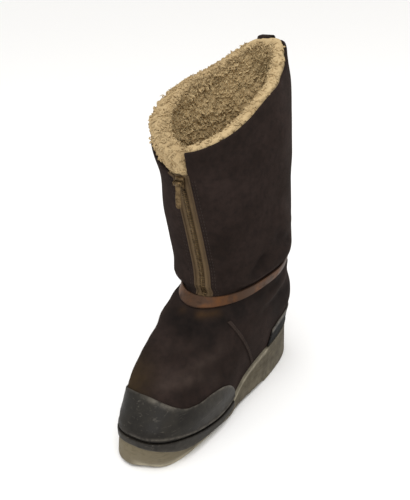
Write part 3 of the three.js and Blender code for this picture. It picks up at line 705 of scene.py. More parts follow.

# %% [markdown]
# Suede is leather with its fibres brushed up. It hardly shines, it is blotchy where the nap lies one way or
# another, and it turns brown or olive where it is rubbed bare. One noise would mottle it evenly, so blotches
# of two sizes make the nap. The rubbed places are masks painted on the mesh, and so is the painted shade
# under the strap, on the instep and heel, and in the bottom of narrow folds.

# %% Suede
SUEDE_DARK, SUEDE_LIGHT, SUEDE_DARK_NAP_AND_SHADE = paint(32, 25, 22), paint(44, 35, 32), paint(21, 18, 17)
SUEDE_OLIVE, SUEDE_BROWN, SUEDE_RUB = paint(54, 43, 28), paint(62, 45, 28), paint(64, 54, 49)
NAP_SHARE, NAP_SIZE, TINT_LIMITS = 0.55, 0.8, (0.45, 1.0)
suede, tree, shader = new_material(
    "suede", Roughness=0.95, Sheen_Weight=0.05, Sheen_Roughness=0.5, Sheen_Tint=paint(120, 90, 76),
    Specular_IOR_Level=0.06)
nap_broad = use(tree, blotches, Size=48, Low=0.36, High=0.66)["Mask"]
nap_fine = use(tree, blotches, Size=7, Low=0.42, High=0.72)["Mask"]
colour = mix(tree, nap_broad, SUEDE_DARK, SUEDE_LIGHT)
colour = mix(tree, times(tree, nap_fine, NAP_SHARE), colour, SUEDE_DARK_NAP_AND_SHADE)
patchy_nap = spread(tree, use(tree, blotches, Size=11, Low=0.3, High=0.6)["Mask"], *TINT_LIMITS)
# The shade mask is painted shade, in the same dark colour as the fine nap
tints = {"olive": SUEDE_OLIVE, "rub": SUEDE_RUB, "shade": SUEDE_DARK_NAP_AND_SHADE, "brown": SUEDE_BROWN}
for mask, tint in tints.items():
    colour = mix(tree, times(tree, mask_of(tree, mask), patchy_nap), colour, tint)
nap_height = cloudy(tree, NAP_SIZE, Detail=3.0, Roughness=0.7)
finish_surface(tree, shader, colour, nap_height, strength=0.55, depth_mm=0.5)
print("suede ready")

# %% [markdown]
# The toe cap, foxing and heel counter are sheet rubber. Old rubber goes from black to a greenish grey,
# shines a little on its crests, and is rubbed pale along its edges. The `edge` mask marks those edges, and on
# the toe cap it also carries painted highlights. The `deep` mask is painted shade on the face of the heel
# counter, which it also makes matt.

# %% Black rubber
RUBBER_DARK, RUBBER_GREY, RUBBER_PALE_WORN_AND_LIT = paint(22, 19, 16), paint(39, 36, 31), paint(112, 106, 96)
RUBBER_PAINTED_SHADE = paint(6, 6, 5)
SCRATCH_SHARE, RUBBED_LIMITS, RUBBER_ROUGHNESS = 0.35, (0.15, 0.85), (0.46, 0.68)
black_rubber, tree, shader = new_material("black_rubber", Specular_IOR_Level=0.17)
bloom = use(tree, blotches, Size=22, Low=0.35, High=0.68)["Mask"]
scratch = use(tree, scuffs, Size=3.2, Low=0.58, High=0.74)["Mask"]
colour = mix(tree, bloom, RUBBER_DARK, RUBBER_GREY)
# Painted shade where the deep mask is set, on the heel counter's face
colour = mix(tree, mask_of(tree, "deep"), colour, RUBBER_PAINTED_SHADE)
colour = mix(tree, times(tree, scratch, SCRATCH_SHARE), colour, RUBBER_PALE_WORN_AND_LIT)
patchy_edge = spread(tree, use(tree, blotches, Size=8, Low=0.35, High=0.62)["Mask"], *RUBBED_LIMITS)
# Pale where edges are rubbed, and on the toe cap painted highlight too
colour = mix(tree, times(tree, mask_of(tree, "edge"), patchy_edge), colour, RUBBER_PALE_WORN_AND_LIT)
roughness = maths(tree, "MAXIMUM", spread(tree, bloom, *RUBBER_ROUGHNESS), mask_of(tree, "deep"))
finish_surface(tree, shader, colour, use(tree, grain, Size=1.6)["Height"], strength=0.22, depth_mm=0.4,
               roughness=roughness)
print("black rubber ready")

# %% [markdown]
# The wedge sole is a khaki rubber, dull with dust and long scuffs. Its top edge carries a paler dusty lip,
# the lower edge at the inner front has a painted highlight, and the toe is a lighter beige. At the front, the
# top of the sole between toe cap and foxing is painted dark as the shade of that groove. All are masks,
# because no pattern would put them in the right place.

# %% Sole rubber
SOLE_KHAKI, SOLE_DARK, SOLE_DUST = paint(86, 79, 64), paint(59, 53, 43), paint(112, 105, 90)
SOLE_BEIGE, SOLE_PALE_DUST_AND_LIGHT = paint(106, 97, 78), paint(168, 160, 140)
SCRAPE_SHARE, LIP_LIMITS, SOLE_ROUGHNESS = 0.5, (0.85, 0.45), (0.72, 0.9)
sole_rubber, tree, shader = new_material("sole_rubber", Specular_IOR_Level=0.15)
mottle = use(tree, blotches, Size=16, Low=0.38, High=0.66)["Mask"]
scrape = use(tree, scuffs, Size=4.5, Low=0.5, High=0.72)["Mask"]
colour = mix(tree, mottle, SOLE_KHAKI, SOLE_DARK)
colour = mix(tree, mask_of(tree, "toe"), colour, SOLE_BEIGE)
colour = mix(tree, times(tree, scrape, SCRAPE_SHARE), colour, SOLE_DARK)
colour = mix(tree, use(tree, dust, Top=26, Fade=30, Size=9)["Mask"], colour, SOLE_DUST)
# The lip mask is dust along the waist and a painted highlight on the lower edge at the inner front
dust_and_highlight_share = times(tree, mask_of(tree, "lip"), spread(tree, mottle, *LIP_LIMITS))
colour = mix(tree, dust_and_highlight_share, colour, SOLE_PALE_DUST_AND_LIGHT)
# Painted shade of the groove between toe cap and foxing
colour = mix(tree, mask_of(tree, "groove_shade"), colour, RUBBER_DARK)
finish_surface(tree, shader, colour, use(tree, grain, Size=2.2)["Height"], strength=0.3, depth_mm=0.5,
               roughness=spread(tree, scrape, *SOLE_ROUGHNESS))
print("sole rubber ready")

# %% [markdown]
# The strap is plain tanned leather that has gone orange where it was oiled and dark where it was handled.
# Cracks could be modelled, but at this size a pebbled grain is enough for the look of old harness.

# %% Strap leather
STRAP_TAN, STRAP_ORANGE, STRAP_DARK = paint(64, 44, 30), paint(90, 55, 26), paint(36, 25, 18)
HANDLED_SHARE, EDGE_SHARE, STRAP_ROUGHNESS = 0.6, 0.7, (0.5, 0.72)
strap_leather, tree, shader = new_material("strap_leather", Specular_IOR_Level=0.14)
oiled = use(tree, blotches, Size=24, Low=0.5, High=0.68)["Mask"]
handled = use(tree, blotches, Size=9, Low=0.52, High=0.74)["Mask"]
colour = mix(tree, oiled, STRAP_TAN, STRAP_ORANGE)
colour = mix(tree, times(tree, handled, HANDLED_SHARE), colour, STRAP_DARK)
colour = mix(tree, times(tree, mask_of(tree, "edge"), EDGE_SHARE), colour, STRAP_DARK)
finish_surface(tree, shader, colour, use(tree, grain, Size=0.9)["Height"], strength=0.4, depth_mm=0.35,
               roughness=spread(tree, handled, *STRAP_ROUGHNESS))
print("strap leather ready")

# %% [markdown]
# The zip runs on a woven tape: khaki brown, with two lighter woven stripes and a dark line down the middle.
# A wave texture could draw the stripes, but masks across the tape follow it when it bends. The weave is too
# fine for a mesh, so it is a bump.

# %% Zip tape and thread
TAPE_BROWN, TAPE_LIGHT, TAPE_DARK = paint(90, 73, 52), paint(104, 86, 62), paint(66, 53, 39)
THREAD_DARK, THREAD_LIGHT = paint(40, 32, 28), paint(52, 43, 37)
SOILED_SHARE = 0.35
zip_cloth, tree, shader = new_material("zip_cloth", Roughness=0.9, Specular_IOR_Level=0.2)
soiled = use(tree, blotches, Size=12, Low=0.4, High=0.7)["Mask"]
colour = mix(tree, mask_of(tree, "stripe"), TAPE_BROWN, TAPE_LIGHT)
colour = mix(tree, mask_of(tree, "middle"), colour, TAPE_DARK)
colour = mix(tree, times(tree, soiled, SOILED_SHARE), colour, TAPE_DARK)
finish_surface(tree, shader, colour, use(tree, weave, Pitch=1.1)["Height"], strength=0.5, depth_mm=0.4)

thread, tree, shader = new_material("thread", Roughness=0.85, Specular_IOR_Level=0.25)
faded = use(tree, blotches, Size=6, Low=0.4, High=0.65)["Mask"]
colour = mix(tree, faded, THREAD_DARK, THREAD_LIGHT)
finish_surface(tree, shader, colour, use(tree, grain, Size=0.5)["Height"], strength=0.4, depth_mm=0.2)
print("zip cloth and thread ready")

# %% [markdown]
# Buckle, slider and teeth are dull plated metal with brown tarnish in it. With one even roughness they would
# look new, so a tarnish mask changes both the colour and the roughness.

# %% Metal
METAL_ROUGHNESS = (0.38, 0.66)


def metal(name, bright, tarnished):
    """Dull metal in two tones."""
    material, tree, shader = new_material(name, Metallic=1.0)
    tarnish = use(tree, blotches, Size=3.5, Low=0.36, High=0.66)["Mask"]
    finish_surface(tree, shader, mix(tree, tarnish, bright, tarnished), use(tree, grain, Size=0.8)["Height"],
                   strength=0.15, depth_mm=0.15, roughness=spread(tree, tarnish, *METAL_ROUGHNESS))
    return material


dull_metal = metal("dull_metal", bright=paint(148, 138, 118), tarnished=paint(78, 64, 50))
zip_brass = metal("zip_brass", bright=paint(114, 95, 68), tarnished=paint(74, 60, 43))
print("metal ready")

# %% [markdown]
# Sheepskin wool is combed flat and tan at the rim and curly inside. Its colour also holds painted light:
# darker at the rim, which gets the full light, and lighter inside, which the shaft shades, following the
# `deep` mask, which says how far a place lies below the rim. The inner side of the rim is painted lighter
# too. A second mask darkens single locks at random and is painted shade in the hollows, between the curls
# and deep in the shaft. A hair shader would need strands. A rough surface with a little sheen and a bump
# works on any mesh.

# %% Wool
WOOL_RIM, WOOL_INSIDE_PAINTED_LIGHT = paint(178, 156, 119), paint(220, 196, 151)
WOOL_TAN, WOOL_SHADE = paint(158, 133, 94), paint(108, 90, 61)
YELLOWED_SHARE, FUZZ_SIZE = 0.45, 2.0
wool, tree, shader = new_material(
    "wool", Roughness=1.0, Specular_IOR_Level=0.05, Sheen_Weight=0.1, Sheen_Roughness=0.6,
    Sheen_Tint=paint(235, 220, 190))
yellowed = use(tree, blotches, Size=22, Low=0.4, High=0.7)["Mask"]
# Painted light: the inside is lighter than the rim, against the shade of the shaft
colour = mix(tree, mask_of(tree, "deep"), WOOL_RIM, WOOL_INSIDE_PAINTED_LIGHT)
colour = mix(tree, times(tree, yellowed, YELLOWED_SHARE), colour, WOOL_TAN)
# Random tone of the locks, and painted shade in hollows, between curls and deep in the shaft
colour = mix(tree, mask_of(tree, "tone_and_painted_shade"), colour, WOOL_SHADE)
fuzz = cloudy(tree, FUZZ_SIZE, Detail=3.0, Roughness=0.6, Distortion=0.7)
finish_surface(tree, shader, colour, fuzz, strength=0.6, depth_mm=0.9)
print("wool ready")

# %% [markdown]
# The upper is one hide round the whole foot and leg, slit in front for the zip. A grid of columns round the
# boot and rows up it could be cut with a boolean, but the cut would leave ragged faces. Here the first and
# last column follow the two edges of the slit, and they close into one seam below it.

# %% Upper: the grid round the boot
WALL, GAP = 3.0, 0.3
ZIP_FOOT, ZIP_HEAD, ZIP_HALF = 141, 288, 9
ZIP_LEAN_FOOT = 8.5
FOOT_ROUND, SLIT_OPENING = 2.0, 16
# How far the flap's edge lies from the slit's edge in X, by Z
FLAP_OUTER = [[285, 0], [288, -5], [297, -15.5], [306, -25.5], [311, -30], [320, -37], [345, -54]]
FLAP_INNER = [[288, 0], [345, 3]]
# Height of the collar over its straight line, by Y
COLLAR_INNER = [
    [-46, -5], [-28, -3.5], [-14, -3.5], [14, -2.5], [32, 0.5], [48, 1.5], [64, 0], [80, -2.5], [96, -4.5],
    [112, -6], [126, -7], [137, -6], [146, -3.5], [152, -6],
]
COLLAR_OUTER = [
    [-46, -16], [-27, -13], [-8, -10], [12, -6.5], [35, -5.5], [55, -6], [73, -8], [89, -10.5], [103, -12.5],
    [120, -14], [136, -11.5], [152, -6],
]
HIDE_COLUMNS, HIDE_STEP, SEAM_BLEND = 176, 2.3, 0.12
TOE_BED, EDGE_ROWS, SLIT_ROWS = 36.8, (0.5, 1.1, 1.8), 9
RIM_GUESS, FRONT_STEPS = 360.0, 800
BED_ROUNDS, RIM_ROUNDS, GRID_ROUNDS = 6, 8, 3


def zip_middle(z):
    """X of the zip's middle line."""
    return ZIP_LEAN_FOOT * (ZIP_HEAD - z) / (ZIP_HEAD - ZIP_FOOT)


def slit_edge(side, z):
    """X of one edge of the hide's slit, which has a round foot and spreads into a flap above the zip."""
    opened = np.clip((z - ZIP_FOOT + FOOT_ROUND) / (2 * FOOT_ROUND), 0, 1)
    flap = read_rows(FLAP_INNER if side > 0 else FLAP_OUTER, 1, z)
    return zip_middle(z) + side * ZIP_HALF * np.sqrt(1 - (1 - opened) ** 2) + flap


def bed_at(angle):
    """Height of the sole's bed under each angle."""
    z = np.full(np.shape(angle), float(OUTLINE_HEIGHT))
    for _ in range(BED_ROUNDS):
        z = bed_height(last_point(angle, z)[..., 1])
    return z


def rim_height(angle, inner_rows, outer_rows):
    """Height of a rim at each angle: a straight line in the side view, and a table over it for each side."""
    z = np.full(np.shape(angle), RIM_GUESS)
    for _ in range(RIM_ROUNDS):
        y = last_point(angle, z)[..., 1]
        over = np.where(np.sin(angle) >= 0, read_rows(inner_rows, 1, y), read_rows(outer_rows, 1, y))
        z = on_line(y, COLLAR_FRONT, COLLAR_BACK) + over
    return z


def collar_at(angle):
    """Height of the hide's collar."""
    return rim_height(angle, COLLAR_INNER, COLLAR_OUTER)


def front_heights(low, high, step, extra):
    """Heights up the front of the boot, an even length apart, with some extra ones."""
    fine = np.linspace(low, high, FRONT_STEPS)
    along = lengths_along(last_point(np.pi, fine)[None], 1)[0]
    count = int(along[-1] / step)
    even = np.interp(np.linspace(0, along[-1], count + 1), along, fine)
    return np.unique(np.concatenate([even, [z for z in extra if low < z < high]]))


def round_grid(columns, heights, low, high, edge, foot):
    """Angles and heights of a grid round the boot. Its ends follow the slit and meet below its foot."""
    share = (even_angles(np.pi, columns) - np.pi) / (2 * np.pi)
    rise = (heights - heights[0]) / (heights[-1] - heights[0])
    closed = 1 - smoothstep(heights, foot + FOOT_ROUND, foot + FOOT_ROUND + SLIT_OPENING)
    angle = np.repeat(np.pi + 2 * np.pi * share[:, None], len(heights), axis=1)
    for _ in range(GRID_ROUNDS):
        bottom, top = low(angle[:, 0]), high(angle[:, -1])
        z = bottom[:, None] + (top - bottom)[:, None] * rise
        for end, half in ((0, share < 0.5), (-1, share >= 0.5)):
            near = half * (1 - smoothstep(np.minimum(share, 1 - share), 0, SEAM_BLEND))
            z = z + near[:, None] * closed * (heights - z[end])
        start = front_angle(edge(OUTER, z[0]), z[0])
        stop = front_angle(edge(INNER, z[-1]), z[-1]) + 2 * np.pi
        angle = start + (stop - start) * share[:, None]
    return angle, z


slit_rows = np.linspace(ZIP_FOOT - FOOT_ROUND, ZIP_FOOT + FOOT_ROUND, SLIT_ROWS)
edge_rows = [TOE_BED + GAP + k for k in EDGE_ROWS] + [COLLAR_FRONT[1] - k for k in EDGE_ROWS]
hide_heights = front_heights(bed_at(np.pi) + GAP, COLLAR_FRONT[1], HIDE_STEP, [*slit_rows, *edge_rows])
hide_angle, hide_z = round_grid(
    HIDE_COLUMNS, hide_heights, lambda a: bed_at(a) + GAP, collar_at, slit_edge, ZIP_FOOT)
print("hide grid", hide_angle.shape)

# %% [markdown]
# The rubbed places of the hide are soft round masks set where the photograph shows them: olive on the outer
# side of the toe, brown under the strap's front, and a pale line along the ridge of the vamp. Painted shade
# is set the same way, under the strap, on the instep, on the inner side of the heel and on the outer vamp.
# Narrow folds are rubbed on top and get painted shade in the bottom. A painted picture could hold all this,
# but masks on the mesh need no image.

# %% Upper: the hide
# Narrow folds are rubbed paler on the ridge and get painted shade in the trough
FOLD_WIDTH, FOLD_DEPTH, FOLD_RUB, FOLD_SHADE = 9.5, 2.5, 0.3, 0.55
WEAR_AND_SHADE = {
    # middle as side, Y, Z, then radius and strength
    "olive": [(OUTER, -102, 64, 20, 0.9), (OUTER, -88, 66, 20, 0.6), (OUTER, -62, 78, 18, 0.25)],
    "brown": [(OUTER, -37, 128, 5, 0.35), (INNER, -37, 128, 5, 0.5), (INNER, -34, 128, 5, 0.5),
              (INNER, -29, 128, 5, 0.5), (INNER, -23, 128, 5, 0.4)],
    "rub": [(INNER, -90, 82, 9, 0.3), (INNER, -66, 86, 9, 0.35), (INNER, -50, 87, 9, 0.3),
            (INNER, -30, 94, 9, 0.25), (INNER, -101, 74, 7, 0.5), (INNER, -92, 76, 7, 0.5),
            (INNER, -80, 76, 7, 0.5), (INNER, -68, 73, 7, 0.4), (INNER, -52, 66, 9, 0.35)],
    # shade is painted shade: under the strap, on the instep, at the heel's inner side and on the outer vamp
    "shade": [(INNER, -44, 122, 12, 0.7), (INNER, -24, 122, 15, 1.0), (INNER, 4, 126, 15, 1.0),
              (INNER, 36, 130, 14, 0.7), (OUTER, -44, 120, 14, 0.7), (INNER, 90, 132, 16, 0.6),
              (INNER, -44, 108, 12, 0.6), (INNER, 84, 84, 18, 0.6), (INNER, 104, 96, 20, 0.7),
              (INNER, 124, 98, 18, 0.7), (OUTER, -70, 82, 12, 0.5)],
}


def wear_and_shade_masks(points):
    """The hide's rubbed places and its painted shade, as masks from 0 to 1."""
    masks = {}
    fold = relief(points, FOLD_WIDTH) / FOLD_DEPTH
    folded = {"rub": FOLD_RUB * np.clip(fold, 0, 1), "shade": FOLD_SHADE * np.clip(-fold, 0, 1)}
    for mask, spots in WEAR_AND_SHADE.items():
        total = folded.get(mask, np.zeros(points.shape[:-1]))
        for side, y, z, radius, strength in spots:
            middle = last_point(side_angle(side, y, z), z)
            total = total + strength * bell(np.linalg.norm(points - middle, axis=-1), radius)
        masks[mask] = np.clip(total, 0, 1)
    return masks


hide_points, hide_normals = skin(hide_angle, hide_z)
hide_loops = sheet_loops(hide_points, hide_normals, -WALL, 0.0, WALL / 2)
closed_rows = int(np.sum(hide_z[0] <= ZIP_FOOT - FOOT_ROUND))
make_piece(
    "upper_suede", loops_mesh(hide_loops, cap_from=closed_rows - 1), suede, ["upper"],
    masks=wear_and_shade_masks(hide_loops))

# %% [markdown]
# The lining is one thick pile from the rim down to the insole. It rolls a little over the edge of the hide,
# is thicker near its rim, and has a notch in front above the zip. It could be the hide's grid moved inward,
# but its rim stands higher than the collar, so it gets a grid of its own.

# %% Lining: the sheet of pile
PILE_BACK, PILE_FACE, PILE_STAND, PILE_ROUND = -12.2, -3.4, 2.4, 4.4
INSOLE_TOP = 4.2
PILE_COLUMNS, PILE_STEP, FOOT_COARSER = 250, 2.4, 3
FOOT_PART_TOP, SHAFT_PART_FOOT = 153, 156
NOTCH_ROWS, RIM_ROWS, NOTCH_START = (0, 1, 2), (0.3, 0.8, 1.5, 2.4, 3.4), 0.5
# X from the inner to the outer edge of the notch, by Z
NOTCH = [[288, 0], [298, -3], [305, -8], [310, -15], [314, -24], [320, -34], [330, -44], [345, -56]]
# Height of the wool over the collar's straight line, by Y
WOOL_INNER = [[y, over + PILE_STAND] for y, over in COLLAR_INNER]
WOOL_OUTER = [
    [-46, 21], [-38, 17], [-30, 13], [-20, 9.5], [4, 7], [18, 5.5], [35, 3.5], [55, -1.5], [73, -5.5],
    [89, -8.5], [103, -11], [118, -12], [136, -10], [152, -6 + PILE_STAND],
]
ROLL_OUT, OVER_HIDE, PAST_FLAP = 1.4, (-1, 4), (-1, 5)
RIM_THICKER, FLAP_THICKER, FLAP_BACK = 4.5, 9.0, 60
THICKER_FULL, THICKER_DEPTH, ROUND_SHARE = 4, 40, 0.5


def wool_at(angle):
    """Height of the top of the wool."""
    return rim_height(angle, WOOL_INNER, WOOL_OUTER)


def notch_edge(side, z):
    """X of one edge of the wool's notch. Below its foot both edges are one line."""
    inner = zip_middle(z) + ZIP_HALF + read_rows(FLAP_INNER, 1, z)
    return inner if side > 0 else inner + read_rows(NOTCH, 1, z)


def thickening(y, outer, rim_gap):
    """How much thicker the pile is near its rim, most at the front of the outer side."""
    flap = outer * smoothstep(-y, -FLAP_BACK, 0)
    near_rim = 1 - smoothstep(rim_gap, THICKER_FULL, THICKER_DEPTH)
    return (RIM_THICKER + (FLAP_THICKER - RIM_THICKER) * flap) * near_rim


rim_front = COLLAR_FRONT[1] + PILE_STAND
pile_rows = [ZIP_HEAD + k for k in NOTCH_ROWS] + [rim_front - k for k in RIM_ROWS]
shaft_part = front_heights(SHAFT_PART_FOOT, rim_front, PILE_STEP, pile_rows)
foot_part = front_heights(bed_at(np.pi) + INSOLE_TOP, FOOT_PART_TOP, FOOT_COARSER * PILE_STEP, [])
pile_angle, pile_z = round_grid(
    PILE_COLUMNS, np.concatenate([foot_part, shaft_part]), lambda a: bed_at(a) + INSOLE_TOP, wool_at,
    notch_edge, ZIP_HEAD - FOOT_ROUND)
pile_points, pile_normals = skin(pile_angle, pile_z)
notched = pile_z >= ZIP_HEAD + NOTCH_START
first_half = np.arange(PILE_COLUMNS + 1)[:, None] < PILE_COLUMNS / 2
over_hide = smoothstep(pile_z - collar_at(pile_angle), *OVER_HIDE)
past_flap = smoothstep(pile_points[..., 0] - slit_edge(OUTER, pile_z), *PAST_FLAP) * first_half * notched
rolled = np.maximum(over_hide, past_flap * (np.cos(pile_angle) < 0))
along = lengths_along(pile_points, 0)
from_notch = np.where(notched, np.minimum(along, along[-1:] - along), np.inf)
rim_gap = np.minimum(pile_z[:, -1:] - pile_z, from_notch)
thicker = thickening(pile_points[..., 1], first_half, rim_gap)
pile_loops = sheet_loops(
    pile_points, pile_normals, PILE_BACK - thicker, PILE_FACE + ROLL_OUT * rolled,
    PILE_ROUND + ROUND_SHARE * thicker, ends=notched)
print("pile grid", pile_angle.shape)

# %% [markdown]
# The pile is lumpy with curls. A bump could draw them, but they show in outline at the rim. So the mesh is
# pushed in and out with cell noise about as wide as a curl, more strongly inside than on the combed rim. The
# gaps between curls, the depth of the shaft and the hollow at its back get painted shade, and the inner side
# of the rim gets painted light.

# %% Lining: curls on the pile
# Size of a curl, then its height inside and at the rim
CURLS = [(7.5, 2.6, 1.6), (3.6, 1.4, 1.2)]
CURL_MIDDLE, CURL_GROWTH = 0.55, (3, 16)
HOLLOW, HOLLOW_SIZE, HOLLOW_SHADE = np.array([-3.0, 137.0, 368.0]), 15, 0.5
PAINTED_RIM_LIGHT, PAINTED_RIM_LIGHT_SIDE, INSIDE_LIGHT_FADE = 0.2, (-0.1, 0.4), (4, 26)
DEEP_SHADE, DEEP_SHADE_FADE = 0.18, (18, 60)
GAP_PER_LIFT, GAP_SHADE_BASE, GAP_SHADE_PER_GAP, GAP_SHADE_MOST = 0.5, 0.05, 0.3, 0.5


def hollow_painted_shade(points):
    """Painted shade of the hollow where the back of the shaft turns."""
    return HOLLOW_SHADE * bell(np.linalg.norm(points - HOLLOW, axis=-1), HOLLOW_SIZE)


def curl_lift(points, size):
    """Cell noise at each place: high in the middle of a curl and low between curls."""
    flat = points.reshape(-1, 3) / size
    lift = [CURL_MIDDLE - noise.voronoi(place)[0][0] for place in flat]
    return np.array(lift).reshape(points.shape[:-1])


rim_gap, loop_angle, loop_rolled = both_faces(rim_gap), both_faces(pile_angle), both_faces(rolled)
loop_normals = np.concatenate([pile_normals, -pile_normals[:, ::-1]], axis=1)
rows = pile_z.shape[1]
inside = np.arange(2 * rows)[None, :] >= rows
curl, between = np.zeros(rim_gap.shape), np.zeros(rim_gap.shape)
for size, inner_curl, rim_curl in CURLS:
    lift = curl_lift(pile_loops, size)
    grown = rim_curl + (inner_curl - rim_curl) * smoothstep(rim_gap, *CURL_GROWTH)
    curl, between = curl + np.where(inside, grown, rim_curl) * lift, between - GAP_PER_LIFT * lift
pile_loops = pile_loops + loop_normals * curl[..., None]
# Painted light on the inner side of the rim, and the inside painted lighter than the rim
painted_light_rim = PAINTED_RIM_LIGHT * smoothstep(np.sin(loop_angle), *PAINTED_RIM_LIGHT_SIDE)
deep = np.maximum(np.where(inside, smoothstep(rim_gap, *INSIDE_LIGHT_FADE), 0), painted_light_rim)
# Painted shade in the back hollow, deep in the shaft and between the curls
tone_and_painted_shade = hollow_painted_shade(pile_loops) + DEEP_SHADE * inside * smoothstep(rim_gap, *DEEP_SHADE_FADE)
tone_and_painted_shade = tone_and_painted_shade + np.clip(GAP_SHADE_BASE + GAP_SHADE_PER_GAP * between, 0, GAP_SHADE_MOST)
closed_rows = int(np.sum(pile_z[0] <= ZIP_HEAD))
make_piece(
    "fleece_pile", loops_mesh(pile_loops, cap_from=closed_rows - 1), wool, ["fleece_lining"],
    masks={"deep": deep, "tone_and_painted_shade": tone_and_painted_shade})

# %% [markdown]
# On top of the lumpy pile come the locks: short thick curls, each bent in its own plane and in its own tone.
# Each also takes the painted shade of the pile where it starts, and painted shade at its root.
# Hair particles would do it quickly, but they aren't a mesh. So all locks are worked out at once as arrays.
# They start at random places of the pile, and most bend back towards it, as curls of wool do. One piece
# holds the locks all over the inside, two add more to its far and near side, and one lies along the rim.

# %% Lining: locks of wool
LOCK_RINGS, LOCK_SIDES = 7, 4
LOCK_POINTS = LOCK_RINGS * LOCK_SIDES
LOCK_SPREAD, LOCK_TILT, LOCK_TAPER, TAPER_POWER = 0.8, 0.6, 0.6, 1.6
LOCK_ROOT_SHADE, LOCK_UNEVEN = 0.07, 0.22
LOCK_KINDS = {
    "inside": {"count": 3700, "sink": 0.4, "stand": 0.6, "sizes": [(6, 11), (0.9, 1.5), (4, 6.3)]},
    "far": {"count": 3300, "sink": 0.4, "stand": 0.6, "sizes": [(5, 9), (0.7, 1.3), (4, 6.3)]},
    "rim": {"count": 2400, "sink": 1.0, "stand": 0.35, "sizes": [(5, 9), (1.0, 1.6), (3.5, 6)]},
    "tuft": {"count": 240, "sink": 0.4, "stand": 1.2, "sizes": [(3, 5.5), (0.45, 0.8), (0.8, 3)]},
    "near": {"count": 1700, "sink": 0.4, "stand": 0.6, "sizes": [(6, 10), (0.9, 1.4), (4, 6.3)]},
}
LOCK_PIECES = {"fleece_locks": ["inside"], "fleece_far_locks": ["far"],
               "fleece_rim_locks": ["rim", "tuft"], "fleece_near_locks": ["near"]}
# Limits of the sides, as sines of the angle round the boot
FAR_SIDE, LOOP_SIDE, TUFT_SIDE = 0.3, 0.32, -0.15
# Depths below the rim
INSIDE_FROM, RIM_UNTIL, TUFT_DEPTH = (3, 9), (6, 12), 2.5
LOCK_DEPTH, LOCK_FALL, FAR_DEPTH, NEAR_DEPTH, NEAR_SHARE = 170, 80, 90, 110, 0.6
LOCK_SEED = 7
random = np.random.default_rng(LOCK_SEED)

pile_out = np.cross(np.gradient(pile_loops, axis=0), np.gradient(pile_loops, axis=1))
pile_area = np.linalg.norm(pile_out, axis=-1)
pile_out = pile_out / np.maximum(pile_area, NEAR_ZERO)[..., None]
pile_out = pile_out * np.sign(np.sum(pile_out * loop_normals))


def locks_on(weight, count, sink, stand, sizes):
    """Locks at random places of the pile, most where the weight is high.

    They start sunk in the pile, and stand is how steeply they rise. sizes are the limits of their length,
    radius and curl.
    """
    share = (weight * pile_area).ravel()
    at = random.choice(share.size, count, p=share / share.sum())
    normal = pile_out.reshape(-1, 3)[at]
    base = pile_loops.reshape(-1, 3)[at] + random.normal(0, LOCK_SPREAD, (count, 3)) - sink * normal
    out = unit(stand * normal + random.normal(0, LOCK_TILT, (count, 3)))
    side = unit(np.cross(out, unit(random.normal(0, 1, (count, 3)))))
    side = side * -np.sign(np.sum(side * normal, axis=-1, keepdims=True))
    drawn = [random.uniform(*limits, count) for limits in sizes]
    return (base, out, side, *drawn), deep.ravel()[at], tone_and_painted_shade.ravel()[at]


def lock_curls(base, out, side, length, radius, curl):
    """Points and faces of many tapered curls, each starting along out and bending towards side."""
    share = np.linspace(0, 1, LOCK_RINGS)[None, :, None]
    bend = curl[:, None, None] * share
    reach = (length / curl)[:, None, None]
    out, side = out[:, None, :], side[:, None, :]
    centre = base[:, None] + reach * (out * np.sin(bend) + side * (1 - np.cos(bend)))
    across = side * np.cos(bend) - out * np.sin(bend)
    third = np.cross(out, side) * np.ones_like(share)
    thick = radius[:, None, None] * (1 - LOCK_TAPER * share**TAPER_POWER)
    turn = 2 * np.pi * np.arange(LOCK_SIDES) / LOCK_SIDES
    rings = centre[:, :, None] + thick[:, :, None] * (
        across[:, :, None] * np.cos(turn)[:, None] + third[:, :, None] * np.sin(turn)[:, None])
    one = sweep_faces(LOCK_RINGS, LOCK_SIDES, False, cap_from=LOCK_SIDES)
    ends = np.arange(LOCK_SIDES)
    starts = LOCK_POINTS * np.arange(len(base))
    quads = (one[None] + starts[:, None, None]).reshape(-1, 4).tolist()
    tips = (ends[None] + (LOCK_POINTS - LOCK_SIDES) + starts[:, None]).tolist()
    roots = (ends[None, ::-1] + starts[:, None]).tolist()
    return rings.reshape(-1, 3), quads + tips + roots


def lock_piece(name, kinds):
    """One piece from several kinds of locks, each lock with its own tone and painted shade."""
    # Painted shade at the root of each lock, fading towards its tip
    root_to_tip = np.repeat(np.linspace(LOCK_ROOT_SHADE, 0, LOCK_RINGS), LOCK_SIDES)
    shapes, deeps, tones_and_shade = [], [], []
    for locks, lock_deep, lock_tone_and_shade in kinds:
        shapes.append(lock_curls(*locks))
        own = lock_tone_and_shade + LOCK_UNEVEN * random.uniform(0, 1, len(lock_tone_and_shade)) ** 2
        deeps.append(np.repeat(lock_deep, LOCK_POINTS))
        tones_and_shade.append((own[:, None] + root_to_tip).ravel())
    make_piece(name, joined(shapes), wool, weld=FINE_WELD, masks={
        "deep": np.concatenate(deeps), "tone_and_painted_shade": np.concatenate(tones_and_shade)})


